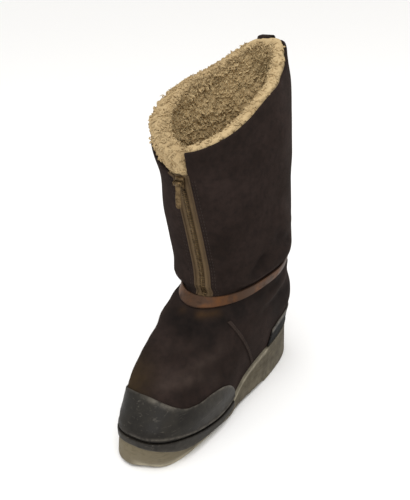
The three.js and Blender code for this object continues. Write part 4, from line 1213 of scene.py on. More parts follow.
far_side = (np.sin(loop_angle) < FAR_SIDE) * 1.0
no_loop = 1 - (np.abs(np.sin(loop_angle)) < LOOP_SIDE) * (np.cos(loop_angle) > 0)
inner_weight = inside * smoothstep(rim_gap, *INSIDE_FROM) * (rim_gap < LOCK_DEPTH)
inner_weight = inner_weight * np.exp(-rim_gap / LOCK_FALL)
weights = {
    "inside": inner_weight * (NEAR_SHARE + far_side),
    "far": inner_weight * far_side * (rim_gap < FAR_DEPTH),
    "rim": np.where(inside, 1 - smoothstep(rim_gap, *RIM_UNTIL), loop_rolled) * no_loop,
    "tuft": bell(rim_gap, TUFT_DEPTH) * (np.sin(loop_angle) < TUFT_SIDE) * no_loop,
    "near": inner_weight * (1 - far_side) * (rim_gap < NEAR_DEPTH),
}
for name, kinds in LOCK_PIECES.items():
    lock_piece(name, [locks_on(weights[kind], **LOCK_KINDS[kind]) for kind in kinds])

# %% [markdown]
# The sole is a wedge of rubber. Its side could be a plain wall, but the real one has a rounded foot, a
# shallow groove and a lip under the upper. Its tread has cross bars at heel and forefoot, with the arch left
# plain.

# %% Sole outline
LEDGE, LEVEL = 2.0, np.array([1.0, 1.0, 0.0])
SOLE_COLUMNS = 480


def sole_edge(angle):
    """Places on the sole's edge at the height of its bed, and level outward directions."""
    z = bed_at(angle)
    out = unit(last_normal(angle, z) * LEVEL)
    return last_point(angle, z) + out * LEDGE, out


half_turn = even_angles(0.0, SOLE_COLUMNS)[: SOLE_COLUMNS // 2 + 1]
half_turn = half_turn * np.pi / half_turn[-1]
sole_angles = np.concatenate([half_turn, 2 * np.pi - half_turn[-2:0:-1]])
edge_points, edge_out = sole_edge(sole_angles)
sole_top, sole_foot = edge_points[:, 2], read_rows(TREAD_ROWS, 1, edge_points[:, 1])
print("sole outline", len(sole_angles), "places, length", round(float(np.ptp(edge_points[:, 1])), 1), "mm")

# %% Sole: wall, tread and roof
SOLE_RISE = np.array([
    0, 0.02, 0.05, 0.09, 0.15, 0.25, 0.36, 0.48, 0.6, 0.7, 0.78, 0.84, 0.9, 0.95, 0.98, 1.0])
FOOT_TAPER, FOOT_TAPER_HEIGHT, TOP_INSET = 1.5, 3.5, 9.0
LIP_OUT, LIP_HEIGHT, LIP_SOFT = 0.55, 4.0, 1
LIP_GROOVE, GROOVE_AT, GROOVE_WIDTH = 0.5, 5.4, 0.9
# The inner front is tapered and the outer toe is flared, over these distances to the front and side
INNER_TAPER, TAPER_FRONT, TAPER_SIDE = 4.0, (20, 60), (0, 20)
TOE_FLARE, FLARE_FRONT, FLARE_SIDE = 3.5, (95, 135), (-30, 0)
BAR_PITCH, BAR_GROOVE, GROOVE_DEPTH, TREAD_ACROSS = 9.0, 3.0, 1.6, 22
GROOVE_INWARD, GROOVE_OUTWARD, BAR_FADE = 0.8, 0.4, 3
TREAD_ENDS, TREAD_RIM, TREAD_RIM_SOFT = [(-128, -26), (62, 136)], 5.0, 1


def ruled(first, second, steps):
    """A grid of places between two lines that run side by side."""
    return first[:, None] + (second - first)[:, None] * steps[None, :, None]


def grid_faces(rows, columns):
    """Quads of an open grid."""
    i, j = np.meshgrid(np.arange(rows - 1), np.arange(columns - 1), indexing="ij")
    first = i * columns + j
    return np.stack([first, first + 1, first + columns + 1, first + columns], -1).reshape(-1, 4)


def wall_faces(places, rows):
    """Quads of a wall that goes all round its places."""
    i, j = np.meshgrid(np.arange(places), np.arange(rows - 1), indexing="ij")
    here, after = i * rows + j, (i + 1) % places * rows + j
    return np.stack([here, after, after + 1, here + 1], -1).reshape(-1, 4)


side_z = sole_foot[:, None] + (sole_top - sole_foot)[:, None] * SOLE_RISE
above_foot, below_top = side_z - sole_foot[:, None], sole_top[:, None] - side_z
side_out = -FOOT_TAPER * (1 - np.sqrt(1 - (1 - np.clip(above_foot / FOOT_TAPER_HEIGHT, 0, 1)) ** 2))
side_out += LIP_OUT * (1 - smoothstep(below_top, LIP_HEIGHT - LIP_SOFT, LIP_HEIGHT))
side_out -= LIP_GROOVE * bell(below_top - GROOVE_AT, GROOVE_WIDTH)
inner_front = smoothstep(-edge_points[:, 1], *TAPER_FRONT) * smoothstep(edge_points[:, 0], *TAPER_SIDE)
outer_toe = smoothstep(-edge_points[:, 1], *FLARE_FRONT) * smoothstep(-edge_points[:, 0], *FLARE_SIDE)
side_out += (TOE_FLARE * outer_toe - INNER_TAPER * inner_front)[:, None] * (1 - SOLE_RISE)
side_points = edge_points[:, None] + edge_out[:, None] * side_out[..., None]
side_points[..., 2] = side_z
inset_ring = edge_points - edge_out * TOP_INSET
wall = np.concatenate([side_points, inset_ring[:, None]], axis=1)

inner_half = np.arange(SOLE_COLUMNS // 2 + 1)
outer_half = -inner_half % SOLE_COLUMNS
inner_edge, outer_edge = side_points[inner_half, 0], side_points[outer_half, 0]
tread = ruled(inner_edge, outer_edge, np.linspace(0, 1, TREAD_ACROSS))
from_edge = np.minimum(np.linalg.norm(tread - inner_edge[:, None], axis=-1),
                       np.linalg.norm(tread - outer_edge[:, None], axis=-1))
bar_phase = np.abs((tread[..., 1] / BAR_PITCH) % 1 - 0.5) * BAR_PITCH
groove = 1 - smoothstep(bar_phase, BAR_GROOVE / 2 - GROOVE_INWARD, BAR_GROOVE / 2 + GROOVE_OUTWARD)
barred = sum(
    smoothstep(tread[..., 1], low, low + BAR_FADE) * smoothstep(-tread[..., 1], -high, -high + BAR_FADE)
    for low, high in TREAD_ENDS)
off_rim = smoothstep(from_edge, TREAD_RIM - TREAD_RIM_SOFT, TREAD_RIM + TREAD_RIM_SOFT)
tread[..., 2] += GROOVE_DEPTH * groove * barred * off_rim
roof = ruled(inset_ring[inner_half], inset_ring[outer_half], np.array([0, 0.5, 1]))
sole_shape = joined([
    (wall.reshape(-1, 3), wall_faces(*wall.shape[:2])),
    (tread.reshape(-1, 3), grid_faces(*tread.shape[:2])),
    (roof.reshape(-1, 3), grid_faces(*roof.shape[:2])),
])
print("sole shape", len(sole_shape[0]), "places")

# %% [markdown]
# The sole's masks follow its edges: a dusty lip along the waist, a lighter beige toe, a painted highlight on
# the lower edge at the inner front, and painted shade on the top of the sole between toe cap and foxing.

# %% Sole: dust, toe colour, painted highlight and painted shade
LIP_MOST, LIP_FADE, LIP_FRONT, LIP_REAR = 0.62, (2.5, 6.5), (-24, -14), (-74, -60)
TOE_BEIGE_SPAN = (84, 124)
FOOT_LIT, FOOT_LIT_FRONT, FOOT_LIT_SIDE = (3.0, 6.5), (40, 70), (0, 14)
GROOVE_SHADE_FRONT, GROOVE_SHADE_FADE = (15, 19), (0.3, 1.6)

sole_x, sole_y, sole_z = sole_shape[0].T
sole_gap, over_foot = bed_height(sole_y) - sole_z, sole_z - read_rows(TREAD_ROWS, 1, sole_y)
at_waist = smoothstep(sole_y, *LIP_FRONT) * smoothstep(-sole_y, *LIP_REAR)
lip_mask = LIP_MOST * (1 - smoothstep(sole_gap, *LIP_FADE)) * at_waist
# Painted highlight along the lower edge of the inner front
at_inner_front = smoothstep(-sole_y, *FOOT_LIT_FRONT) * smoothstep(sole_x, *FOOT_LIT_SIDE)
foot_highlight = (1 - smoothstep(over_foot, *FOOT_LIT)) * at_inner_front
# The front of the sole turns a lighter beige
toe_mask = smoothstep(-sole_y, *TOE_BEIGE_SPAN)
# Painted shade on the sole's top at the front, in the groove between toe cap and foxing
groove_shade_mask = smoothstep(-sole_y, *GROOVE_SHADE_FRONT) * (1 - smoothstep(sole_gap, *GROOVE_SHADE_FADE))
make_piece("sole_wedge", sole_shape, sole_rubber, ["outsole"],
           masks={"lip": np.maximum(lip_mask, foot_highlight), "toe": toe_mask, "groove_shade": groove_shade_mask})

# %% [markdown]
# Foxing is the rubber strip stuck round the front of the sole. Toe cap and counter are rubber sheets moulded
# over the upper. All three are sheets on a surface: only their edges differ, so each edge is read from a
# table.

# %% Foxing
RUBBER = 2.0
FOXING_BACK, FOXING_END_HEIGHT, FOXING_ROUND = -17.5, 20, 1.1
FOXING_COLUMNS, FOXING_ROWS_UP = 180, 12
FOXING_RUB, FOXING_EDGE_RUB, FOXING_EDGE_POWER = 0.1, 0.5, 6
BETWEEN_STEPS, EDGE_CROWD = 3000, 0.35


def angles_between(first, last, count):
    """Angles spread evenly along the outline between two angles."""
    fine = np.linspace(first, last, BETWEEN_STEPS)
    along = lengths_along(last_point(fine, OUTLINE_HEIGHT)[None], 1)[0]
    return np.interp(np.linspace(0, along[-1], count), along, fine)


def edge_steps(count):
    """Steps from 0 to 1 that lie closer together at both ends."""
    even = np.linspace(0, 1, count)
    return even - EDGE_CROWD * np.sin(2 * np.pi * even) / (2 * np.pi)


def side_steps(count):
    """Steps from -1 to 1 that lie closer together at both ends."""
    return 2 * edge_steps(count) - 1


fox_ends = side_angle([INNER, OUTER], FOXING_BACK, FOXING_END_HEIGHT)
fox_edge, fox_out = sole_edge(angles_between(*fox_ends, FOXING_COLUMNS))
fox_low, fox_high = read_rows(FOXING_ROWS, 1, fox_edge[:, 1]), bed_height(fox_edge[:, 1]) - GAP
fox_points = np.repeat(fox_edge[:, None], FOXING_ROWS_UP, axis=1)
fox_points[..., 2] = fox_low[:, None] + (fox_high - fox_low)[:, None] * edge_steps(FOXING_ROWS_UP)
fox_normals = np.repeat(fox_out[:, None], FOXING_ROWS_UP, axis=1)
fox_loops = sheet_loops(fox_points, fox_normals, GAP, GAP + RUBBER, FOXING_ROUND, ends=True)
from_lower_edge = np.abs(np.linspace(-1, 1, 2 * FOXING_ROWS_UP))
fox_mask = FOXING_RUB + FOXING_EDGE_RUB * from_lower_edge**FOXING_EDGE_POWER
make_piece("foxing_strip", loops_mesh(fox_loops), black_rubber, ["foxing"],
           masks={"edge": np.tile(fox_mask, (FOXING_COLUMNS, 1))})

# %% [markdown]
# The toe cap is moulded over the toe, with a bead along its foot. It could be cut from a copy of the upper,
# but its edge would then step from face to face. Here each column of the sheet ends where the cap's drawn
# edge meets the last.

# %% Toe cap
OVERLAY_LIFT, OVERLAY_ROUND, BEAD_WIDTH, BEAD_RUB_WIDTH = 1.2, 1.2, 1.3, 1.2
CAP_REAR, CAP_END_HEIGHT, CAP_LIMITS, CAP_LEAST = -13.5, 24, (20, 90), 5
CAP_COLUMNS, CAP_ROWS_UP = 200, 40
CAP_BEAD, CAP_BEAD_AT, CAP_INNER = 1.1, 3.4, (0, 25)
# Strength of each pale place, from rubbing and painted highlight, and the painted light added on the inner
# side
CAP_EDGE_RUB_AND_LIGHT, CAP_EDGE_INNER_LIGHT, CAP_EDGE_WIDTH = 0.3, 0.2, 2.0
CAP_BEAD_RUB_AND_LIGHT, CAP_BEAD_INNER_LIGHT = 0.2, 0.4
CAP_SIDE_LIGHT, CAP_SIDE_LIGHT_FROM = 0.14, (-110, -60)
HIGHLIGHT_MIDDLE, HIGHLIGHT_SIZE = np.array([17.0, -119.0, 60.0]), 17
HIGHLIGHT_STRENGTH, HIGHLIGHT_AT, HIGHLIGHT_WIDTH = 0.75, 3.0, 2.6


def height_under(rows, angle, low, high):
    """Height at which the last meets an edge that is drawn as Z over Y."""
    return halved(np.shape(angle), low, high,
                  lambda z: z > read_rows(rows, 1, last_point(angle, z)[..., 1]))


def overlay(angle, low, high, rows, bead, bead_at):
    """A rubber sheet on the upper between two heights, with a bead along its lower edge.

    Gives its sections, and for each of their places the distance below the upper and above the lower edge.
    """
    z = low[:, None] + (high - low)[:, None] * edge_steps(rows)
    points, normals = skin(np.repeat(angle[:, None], rows, axis=1), z)
    climbed = lengths_along(points, 1)
    face = GAP + RUBBER + bead * bell(climbed - bead_at, BEAD_WIDTH)
    loops = sheet_loops(points, normals, GAP, face, OVERLAY_ROUND, ends=True)
    return loops, both_faces(climbed[:, -1:] - climbed), both_faces(climbed)


cap_angle = angles_between(*side_angle([INNER, OUTER], CAP_REAR, CAP_END_HEIGHT), CAP_COLUMNS)
cap_low = bed_at(cap_angle) + OVERLAY_LIFT
cap_high = np.maximum(height_under(CAP_ROWS, cap_angle, *CAP_LIMITS), cap_low + CAP_LEAST)
cap_loops, below_edge, above_edge = overlay(
    cap_angle, cap_low, cap_high, CAP_ROWS_UP, CAP_BEAD, CAP_BEAD_AT)
# A painted highlight streak below the cap's upper edge, and painted light on the cap's inner side
highlighted = bell(np.linalg.norm(cap_loops - HIGHLIGHT_MIDDLE, axis=-1), HIGHLIGHT_SIZE)
inner_side = smoothstep(cap_loops[..., 0], *CAP_INNER)
cap_rub_and_highlight = bell(below_edge, CAP_EDGE_WIDTH) * (CAP_EDGE_RUB_AND_LIGHT + CAP_EDGE_INNER_LIGHT * inner_side)
cap_rub_and_highlight += HIGHLIGHT_STRENGTH * highlighted * bell(below_edge - HIGHLIGHT_AT, HIGHLIGHT_WIDTH)
cap_rub_and_highlight += (CAP_BEAD_RUB_AND_LIGHT + CAP_BEAD_INNER_LIGHT * inner_side) * bell(above_edge - CAP_BEAD_AT, BEAD_RUB_WIDTH)
cap_rub_and_highlight += CAP_SIDE_LIGHT * inner_side * smoothstep(cap_loops[..., 1], *CAP_SIDE_LIGHT_FROM)
make_piece("toe_cap_rubber", loops_mesh(cap_loops), black_rubber, ["toe_cap"],
           masks={"edge": np.clip(cap_rub_and_highlight, 0, 1)})

# %% [markdown]
# The heel counter is the same kind of sheet, lower and plainer, so the same function makes it. Its upper edge
# is rubbed pale, and below that its face gets painted shade.

# %% Heel counter
COUNTER_FRONT, COUNTER_END_HEIGHT, COUNTER_LIMITS, COUNTER_LEAST = 67.5, 44, (40, 90), 1
COUNTER_COLUMNS, COUNTER_ROWS_UP = 130, 22
COUNTER_BEAD, COUNTER_BEAD_AT, COUNTER_BEAD_RUB = 0.7, 2.6, 0.1
COUNTER_EDGE_WIDTH, COUNTER_SHADE, COUNTER_SHADE_FROM = 3.4, 0.85, (3.0, 7.0)

start, stop = side_angle([OUTER, INNER], COUNTER_FRONT, COUNTER_END_HEIGHT)
counter_angle = angles_between(start - 2 * np.pi, stop, COUNTER_COLUMNS)
counter_low = bed_at(counter_angle) + OVERLAY_LIFT
counter_high = height_under(COUNTER_ROWS, counter_angle, *COUNTER_LIMITS)
counter_high = np.maximum(counter_high, counter_low + COUNTER_LEAST)
counter_loops, below_edge, above_edge = overlay(
    counter_angle, counter_low, counter_high, COUNTER_ROWS_UP, COUNTER_BEAD, COUNTER_BEAD_AT)
counter_mask = bell(below_edge, COUNTER_EDGE_WIDTH)
counter_mask += COUNTER_BEAD_RUB * bell(above_edge - COUNTER_BEAD_AT, BEAD_RUB_WIDTH)
# Painted shade on the counter's face below its upper edge
counter_painted_shade = COUNTER_SHADE * smoothstep(below_edge, *COUNTER_SHADE_FROM)
make_piece("heel_counter_rubber", loops_mesh(counter_loops), black_rubber,
           ["heel_counter"], masks={"edge": counter_mask, "deep": counter_painted_shade})

# %% [markdown]
# A row of stitches takes one short bent thread, laid again and again: a line on the surface is cut into even
# lengths, and each length gets a thread that dips in at its ends. A bump would be cheaper, but real threads
# catch the light. The side seams are narrow strips with two such rows.

# %% Side seams and stitches
SEAM_LINE = [[43, 26], [52, 21], [65, 13], [81, 4], [100, -6], [118, -16]]
SEAM_WIDTH, SEAM_THICK, SEAM_ROUND, SEAM_RUB = 5.0, 1.0, 0.7, 0.4
SEAM_STEPS, SEAM_ROWS, STITCHED_AT = 60, 10, (0.22, 0.78)
STITCH, STITCH_SPACE, THREAD_RADIUS, THREAD_SIDES = 2.6, 1.3, 0.36, 6
STITCH_RISE = np.array([-2.0, 0.3, 0.6, 0.3, -2.0])


def stitch_row(points, normals, lift):
    """Threads laid along a line on the surface, each dipping in at its two ends."""
    along = lengths_along(points[None], 1)[0]
    count = int(along[-1] / (STITCH + STITCH_SPACE))
    rise = lift + THREAD_RADIUS * STITCH_RISE
    threads = []
    for start in np.arange(count) * along[-1] / count:
        at = start + STITCH * np.linspace(0, 1, len(STITCH_RISE))
        place, out = (np.stack([np.interp(at, along, grid[:, k]) for k in range(3)], -1)
                      for grid in (points, normals))
        threads.append(tube(place + out * rise[:, None], THREAD_RADIUS, THREAD_SIDES, guide=out))
    return joined(threads)


seam_z = np.linspace(SEAM_LINE[0][0], SEAM_LINE[-1][0], SEAM_STEPS)
seam_y = read_rows(SEAM_LINE, 1, seam_z)
seam_threads = []
for side, name in ((INNER, "inner"), (OUTER, "outer")):
    grid_y = seam_y[:, None] + SEAM_WIDTH * edge_steps(SEAM_ROWS)
    grid_z = np.repeat(seam_z[:, None], SEAM_ROWS, axis=1)
    points, normals = skin(side_angle(side, grid_y, grid_z), grid_z)
    loops = sheet_loops(points, normals, GAP, GAP + SEAM_THICK, SEAM_ROUND, ends=True)
    make_piece(f"side_seam_{name}_strip", loops_mesh(loops), suede, [f"side_seam_{name}"],
               masks={"rub": np.full(loops.shape[:2], SEAM_RUB)})
    for across in STITCHED_AT:
        line, out = skin(side_angle(side, seam_y + SEAM_WIDTH * across, seam_z), seam_z)
        seam_threads.append(stitch_row(line, out, GAP + SEAM_THICK))
make_piece("seam_stitches", joined(seam_threads), thread, weld=FINE_WELD)

# %% [markdown]
# The strap goes once round the ankle in the trough of the upper. Its tail, keeper and buckle lie on the
# outer side. A straight strip could be bent round with a modifier, but then it would have to be fitted. Here
# every place is given as a distance along the boot and a height across the strap, so all parts stay on its
# line.

# %% Ankle strap
STRAP_HALF, STRAP_THICK, STRAP_ROUND = 6.5, 2.5, 1.0
STRAP_OUT = GAP + STRAP_THICK
INSTEP_SHARE, INSTEP_FROM, INSTEP_TO = 0.76, 30, -20
STRAP_COLUMNS, STRAP_ROWS = 240, 14
STRAP_GUESS, STRAP_ROUNDS, EDGE_POWER = 145.0, 6, 8


def strap_z(y, across):
    """Height of a place on the strap. The band is lower over the sloping instep, to keep one width."""
    narrow = 1 - (1 - INSTEP_SHARE) * smoothstep(-y, -INSTEP_FROM, -INSTEP_TO)
    return strap_height(y) + across * narrow


def on_strap(y, across, lift):
    """Place and outward direction on the outer side of the strap, lifted off the upper."""
    y, across = np.broadcast_arrays(np.asarray(y, float), np.asarray(across, float))
    z = strap_z(y, across)
    angle = side_angle(OUTER, y, z)
    normal = last_normal(angle, z)
    return last_point(angle, z) + normal * np.asarray(lift)[..., None], normal


def strap_edges(across):
    """Mask of the darker edges of the strap, for both of its faces."""
    return both_faces(np.abs(across / STRAP_HALF) ** EDGE_POWER)


across_strap = STRAP_HALF * side_steps(STRAP_ROWS)
ring_angle = np.repeat(even_angles(0.0, STRAP_COLUMNS, STRAP_GUESS)[:-1, None], STRAP_ROWS, axis=1)
ring_z = np.full(ring_angle.shape, STRAP_GUESS)
for _ in range(STRAP_ROUNDS):
    ring_z = strap_z(last_point(ring_angle, ring_z)[..., 1], across_strap)
ring_loops = sheet_loops(
    last_point(ring_angle, ring_z), last_normal(ring_angle, ring_z), GAP, STRAP_OUT, STRAP_ROUND)
make_piece("strap_band", loops_mesh(ring_loops, closed=True), strap_leather,
           ["ankle_strap"], masks={"edge": strap_edges(np.tile(across_strap, (STRAP_COLUMNS, 1)))})

# %% [markdown]
# The free end of the strap lies on the strap, and a small keeper holds it. Punched holes could be cut with a
# boolean, but they are tiny: a dark disc, which is painted shade in the hole, with a raised ring looks the
# same.

# %% Strap tail, keeper and eyelets
TAIL_START, TAIL_LENGTH, TAIL_TIP, TIP_LEAST = 59.3, 46.0, 8.0, 0.004
TAIL_THICK, TAIL_ROUND, TAIL_LIFT = 2.2, 0.9, STRAP_OUT + GAP
TAIL_COLUMNS, TAIL_ROWS = 70, 14
KEEPER_Y, KEEPER_HALF, KEEPER_REACH = 82, 4.0, 2.4
KEEPER_THICK, KEEPER_ROUND, KEEPER_COLUMNS, KEEPER_EDGE = 1.6, 0.7, 8, 0.3
HOLES_Y, HOLE_RADIUS, HOLE_SIDES = [66, 72, 91, 97], 1.7, 20
EYELET_RADIUS, EYELET_SIDES = 0.4, 6


def round_end(left, length, least):
    """Share of a strip's width near its rounded end, by the length that is left to the end."""
    return np.sqrt(np.maximum(1 - (1 - np.clip(left / length, 0, 1)) ** 2, least))


tail_y = TAIL_START + TAIL_LENGTH * edge_steps(TAIL_COLUMNS)
tail_half = STRAP_HALF * round_end(TAIL_START + TAIL_LENGTH - tail_y, TAIL_TIP, TIP_LEAST)
tail_across = tail_half[:, None] * side_steps(TAIL_ROWS)
tail_points, tail_normals = on_strap(tail_y[:, None], tail_across, 0.0)
tail_loops = sheet_loops(tail_points, tail_normals, TAIL_LIFT, TAIL_LIFT + TAIL_THICK, TAIL_ROUND, ends=True)
make_piece("strap_tail_end", loops_mesh(tail_loops), strap_leather, ["strap_tail"],
           masks={"edge": strap_edges(tail_across)})

# The keeper is a band that rises beside the strap, crosses over the tail and goes down again. Its section is
# given as a share of its reach across the strap and a lift
keeper_over = TAIL_LIFT + TAIL_THICK + GAP + KEEPER_THICK / 2
keeper_reach = STRAP_HALF + GAP + KEEPER_REACH / 2
climb = [(1, 0.6), (1, 2.2), (1, 4.4), (0.93, 6.1), (0.7, keeper_over), (0.35, keeper_over)]
section = [(-across, lift) for across, lift in climb] + [(0, keeper_over)] + climb[::-1]
keeper_across, keeper_lift = np.array(section).T
keeper_y = KEEPER_Y + KEEPER_HALF * side_steps(KEEPER_COLUMNS)
keeper_points, keeper_out = on_strap(
    keeper_y[None, :], keeper_across[:, None] * keeper_reach, keeper_lift[:, None])
keeper_normals = unit(np.cross(np.gradient(keeper_points, axis=1), np.gradient(keeper_points, axis=0)))
middle = len(section) // 2, KEEPER_COLUMNS // 2
keeper_normals *= np.sign(np.sum(keeper_normals[middle] * keeper_out[middle]))
keeper_loops = sheet_loops(
    keeper_points, keeper_normals, -KEEPER_THICK / 2, KEEPER_THICK / 2, KEEPER_ROUND)
make_piece("strap_keeper_band", loops_mesh(keeper_loops), strap_leather, ["strap_keeper"],
           masks={"edge": np.full(keeper_loops.shape[:2], KEEPER_EDGE)})

eyelets_and_hole_shades = []
turn = np.linspace(0, 2 * np.pi, HOLE_SIDES, endpoint=False)
for hole_y in HOLES_Y:
    ring, ring_out = on_strap(
        hole_y + HOLE_RADIUS * np.cos(turn), HOLE_RADIUS * np.sin(turn), TAIL_LIFT + TAIL_THICK)
    eyelets_and_hole_shades.append(tube(ring, EYELET_RADIUS, EYELET_SIDES, closed=True, guide=ring_out))
    # A flat dark disc in each hole: painted shade
    eyelets_and_hole_shades.append((ring, [list(range(HOLE_SIDES))]))
make_piece("strap_eyelets_and_hole_shade", joined(eyelets_and_hole_shades), thread, weld=FINE_WELD)

# %% [markdown]
# The buckle is a frame of round wire with a prong across it. Bevelled curves could make both, but the helper
# that lays a round bar along a path gives a closed mesh at once.

# %% Buckle
BUCKLE_Y, BUCKLE_HALF_LENGTH, BUCKLE_HALF_HEIGHT = 48, 11.0, 10.0
BAR_RADIUS, BAR_SIDES, BAR_LIFT = 1.15, 12, 1.1
CORNER, CORNER_STEPS = 4.0, 7
PRONG_RADIUS, PRONG_SIDES, PRONG_HALF, PRONG_STEPS = 0.95, 10, 10.4, 16
PRONG_OVER, PRONG_DROP, DROP_POWER = 0.9, 0.4, 4
# Share of the prong's length, then of its radius
PRONG_TAPER = [[0, 0.8], [0.1, 1], [0.7, 0.9], [1, 0.55]]

frame_y, frame_across = [], []
for quarter, (end, edge) in enumerate([(1, 1), (-1, 1), (-1, -1), (1, -1)]):
    turn = quarter * np.pi / 2 + np.linspace(0, np.pi / 2, CORNER_STEPS)
    frame_y.append(BUCKLE_Y + end * (BUCKLE_HALF_LENGTH - BAR_RADIUS - CORNER) + CORNER * np.cos(turn))
    frame_across.append(edge * (BUCKLE_HALF_HEIGHT - BAR_RADIUS - CORNER) + CORNER * np.sin(turn))
bar_lift = STRAP_OUT + GAP + BAR_LIFT
frame_path, frame_out = on_strap(np.concatenate(frame_y), np.concatenate(frame_across), bar_lift)
make_piece("buckle_loop", tube(frame_path, BAR_RADIUS, BAR_SIDES, closed=True, guide=frame_out), dull_metal,
           ["buckle_frame"])
prong_share = np.linspace(-1, 1, PRONG_STEPS)
prong_lift = STRAP_OUT + 2 * GAP + 2 * BAR_LIFT + PRONG_OVER - PRONG_DROP * np.abs(prong_share) ** DROP_POWER
prong_path, prong_out = on_strap(BUCKLE_Y + PRONG_HALF * prong_share, 0.0, prong_lift)
prong_radius = PRONG_RADIUS * np.interp(np.linspace(0, 1, PRONG_STEPS), *np.transpose(PRONG_TAPER))
make_piece("buckle_pin", tube(prong_path, prong_radius, PRONG_SIDES, guide=prong_out), dull_metal,
           ["buckle_prong"])

# %% [markdown]
# The zip sits in the slit: a woven tape, a rolled binding of the same cloth along each edge, a chain of
# small teeth and a slider at the head. The teeth are blocks, left and right in turn.

# %% Zip tape, binding and stitches
TAPE_OUT, TAPE_THICK, TAPE_ROUND = -0.9, 1.4, 0.5
TAPE_STEPS, TAPE_ROWS = 110, 28
STRIPE_AT, STRIPE_WIDTH, MIDDLE_WIDTH = 4.7, 1.0, 1.8
BINDING_RADIUS, BINDING_SIDES, BINDING_SINK, BINDING_DARK = 1.25, 10, 0.55, 0.5
BINDING_FOOT, BINDING_HEAD, BINDING_STEPS = ZIP_FOOT + 1.5 * FOOT_ROUND, ZIP_HEAD + 1, 90
STITCH_INSETS, STITCH_ENDS, STITCH_STEPS = (3.4, 6.0), 3, 140


def on_front(x, z, lift):
    """Place and outward direction on the creased front of the shaft."""
    points, normals = skin(front_angle(x, z), z)
    return points + normals * np.asarray(lift)[..., None], normals


tape_z = np.linspace(ZIP_FOOT + GAP, ZIP_HEAD - GAP, TAPE_STEPS)
tape_x = np.tile((ZIP_HALF - GAP) * side_steps(TAPE_ROWS), (TAPE_STEPS, 1))
grid_z = np.repeat(tape_z[:, None], TAPE_ROWS, axis=1)
tape_points, tape_normals = on_front(zip_middle(grid_z) + tape_x, grid_z, 0.0)
tape_loops = sheet_loops(tape_points, tape_normals, TAPE_OUT - TAPE_THICK, TAPE_OUT, TAPE_ROUND, ends=True)
tape_across = both_faces(tape_x)
make_piece("zip_tape_cloth", loops_mesh(tape_loops), zip_cloth, ["zip_tape"], masks={
    "stripe": bell(np.abs(tape_across) - STRIPE_AT, STRIPE_WIDTH),
    "middle": bell(tape_across, MIDDLE_WIDTH)})

binding_z = np.linspace(BINDING_FOOT, BINDING_HEAD, BINDING_STEPS)
row_z = np.linspace(ZIP_FOOT + STITCH_ENDS, ZIP_HEAD - STITCH_ENDS, STITCH_STEPS)
bindings, zip_threads = [], []
for side in (INNER, OUTER):
    line, out = on_front(slit_edge(side, binding_z), binding_z, -BINDING_SINK)
    bindings.append(tube(line, BINDING_RADIUS, BINDING_SIDES, guide=out))
    for inset in STITCH_INSETS:
        line, out = on_front(slit_edge(side, row_z) + side * inset, row_z, 0.0)
        zip_threads.append(stitch_row(line, out, 0.0))
binding = joined(bindings)
make_piece("zip_binding", binding, zip_cloth, weld=FINE_WELD,
           masks={"middle": np.full(len(binding[0]), BINDING_DARK)})
make_piece("zip_stitches", joined(zip_threads), thread, weld=FINE_WELD)

# %% [markdown]
# The chain is two rows of small metal teeth. An array of one tooth would run straight, so each tooth is laid
# on the bent front of the shaft by itself. It is a block with cut corners, which catch the light.

# %% Zip chain
TOOTH_PITCH, TOOTH_LENGTH, TOOTH_SPINE, TOOTH_HALF_RISE = 2.6, 3.2, 0.9, 0.62
SLIDER_WIDTH, SLIDER_HEIGHT, SLIDER_THICK, SLIDER_WAIST = 11.0, 13.0, 4.6, 7.4
CHAIN_FOOT, CHAIN_HEAD, CHAIN_OUT = ZIP_FOOT + 2, ZIP_HEAD - SLIDER_HEIGHT - 1.5, 0.9
# Each row of teeth starts at a share of the pitch
TOOTH_SHIFT = {INNER: 0.25, OUTER: 0.75}
RIGHT = np.array([1.0, 0, 0])
BLOCK_CORNERS = np.array([
    (1, 0.6), (0.6, 1), (-0.6, 1), (-1, 0.6), (-1, -0.6), (-0.6, -1), (0.6, -1), (1, -0.6)])
# Place up a block and the share of its full section there
BLOCK_SECTIONS = [(-1, 0.82), (-0.86, 1), (0.86, 1), (1, 0.82)]


def block(centre, rise, out, half_right, half_rise, half_out):
    """A block with cut corners. half_right may change along the rise, given as its low and high end."""
    low_high = np.broadcast_to(half_right, (2,))
    sections = []
    for up, shrink in BLOCK_SECTIONS:
        wide = shrink * np.interp(up, [-1, 1], low_high)
        corners = BLOCK_CORNERS * np.array([wide, shrink * half_out])
        sections.append(centre + rise * up * half_rise + corners[:, :1] * RIGHT + corners[:, 1:] * out)
    return loops_mesh(np.array(sections))


teeth = []
tooth_z = np.arange(CHAIN_FOOT, CHAIN_HEAD - TOOTH_PITCH, TOOTH_PITCH)
tooth_lift = (TAPE_OUT + GAP + CHAIN_OUT) / 2
for side, shift in TOOTH_SHIFT.items():
    z = tooth_z + shift * TOOTH_PITCH
    places, outs = on_front(zip_middle(z) + side * (TOOTH_LENGTH - TOOTH_SPINE) / 2, z, tooth_lift)
    for place, out in zip(places, outs):
        teeth.append(block(place, unit(np.cross(out, RIGHT)), out, (TOOTH_LENGTH + TOOTH_SPINE) / 2,
                           TOOTH_HALF_RISE, CHAIN_OUT - tooth_lift))
make_piece("zip_chain", joined(teeth), zip_brass, ["zip_teeth"])

# %% [markdown]
# The slider is a flat body with two ears and a pin between them. It leans as the front of the shaft does, so
# its directions are measured there. Its blocks overlap, which looks the same as a boolean union.

# %% Zip slider
SLIDER_Z, SLIDER_LIFT = ZIP_HEAD - SLIDER_HEIGHT / 2 - 2 * GAP, TAPE_OUT + GAP
PIN_RADIUS, PIN_SIDES, PIN_LIFT, PIN_DROP = 1.1, 12, 2.8, 1.5
EAR, EAR_OVER, EAR_SINK = 1.2, 1.2, 0.7
TAB_HALF, TAB_LENGTH, TAB_THICK, TAB_EYE = 3.5, 27.0, 1.3, 2.3

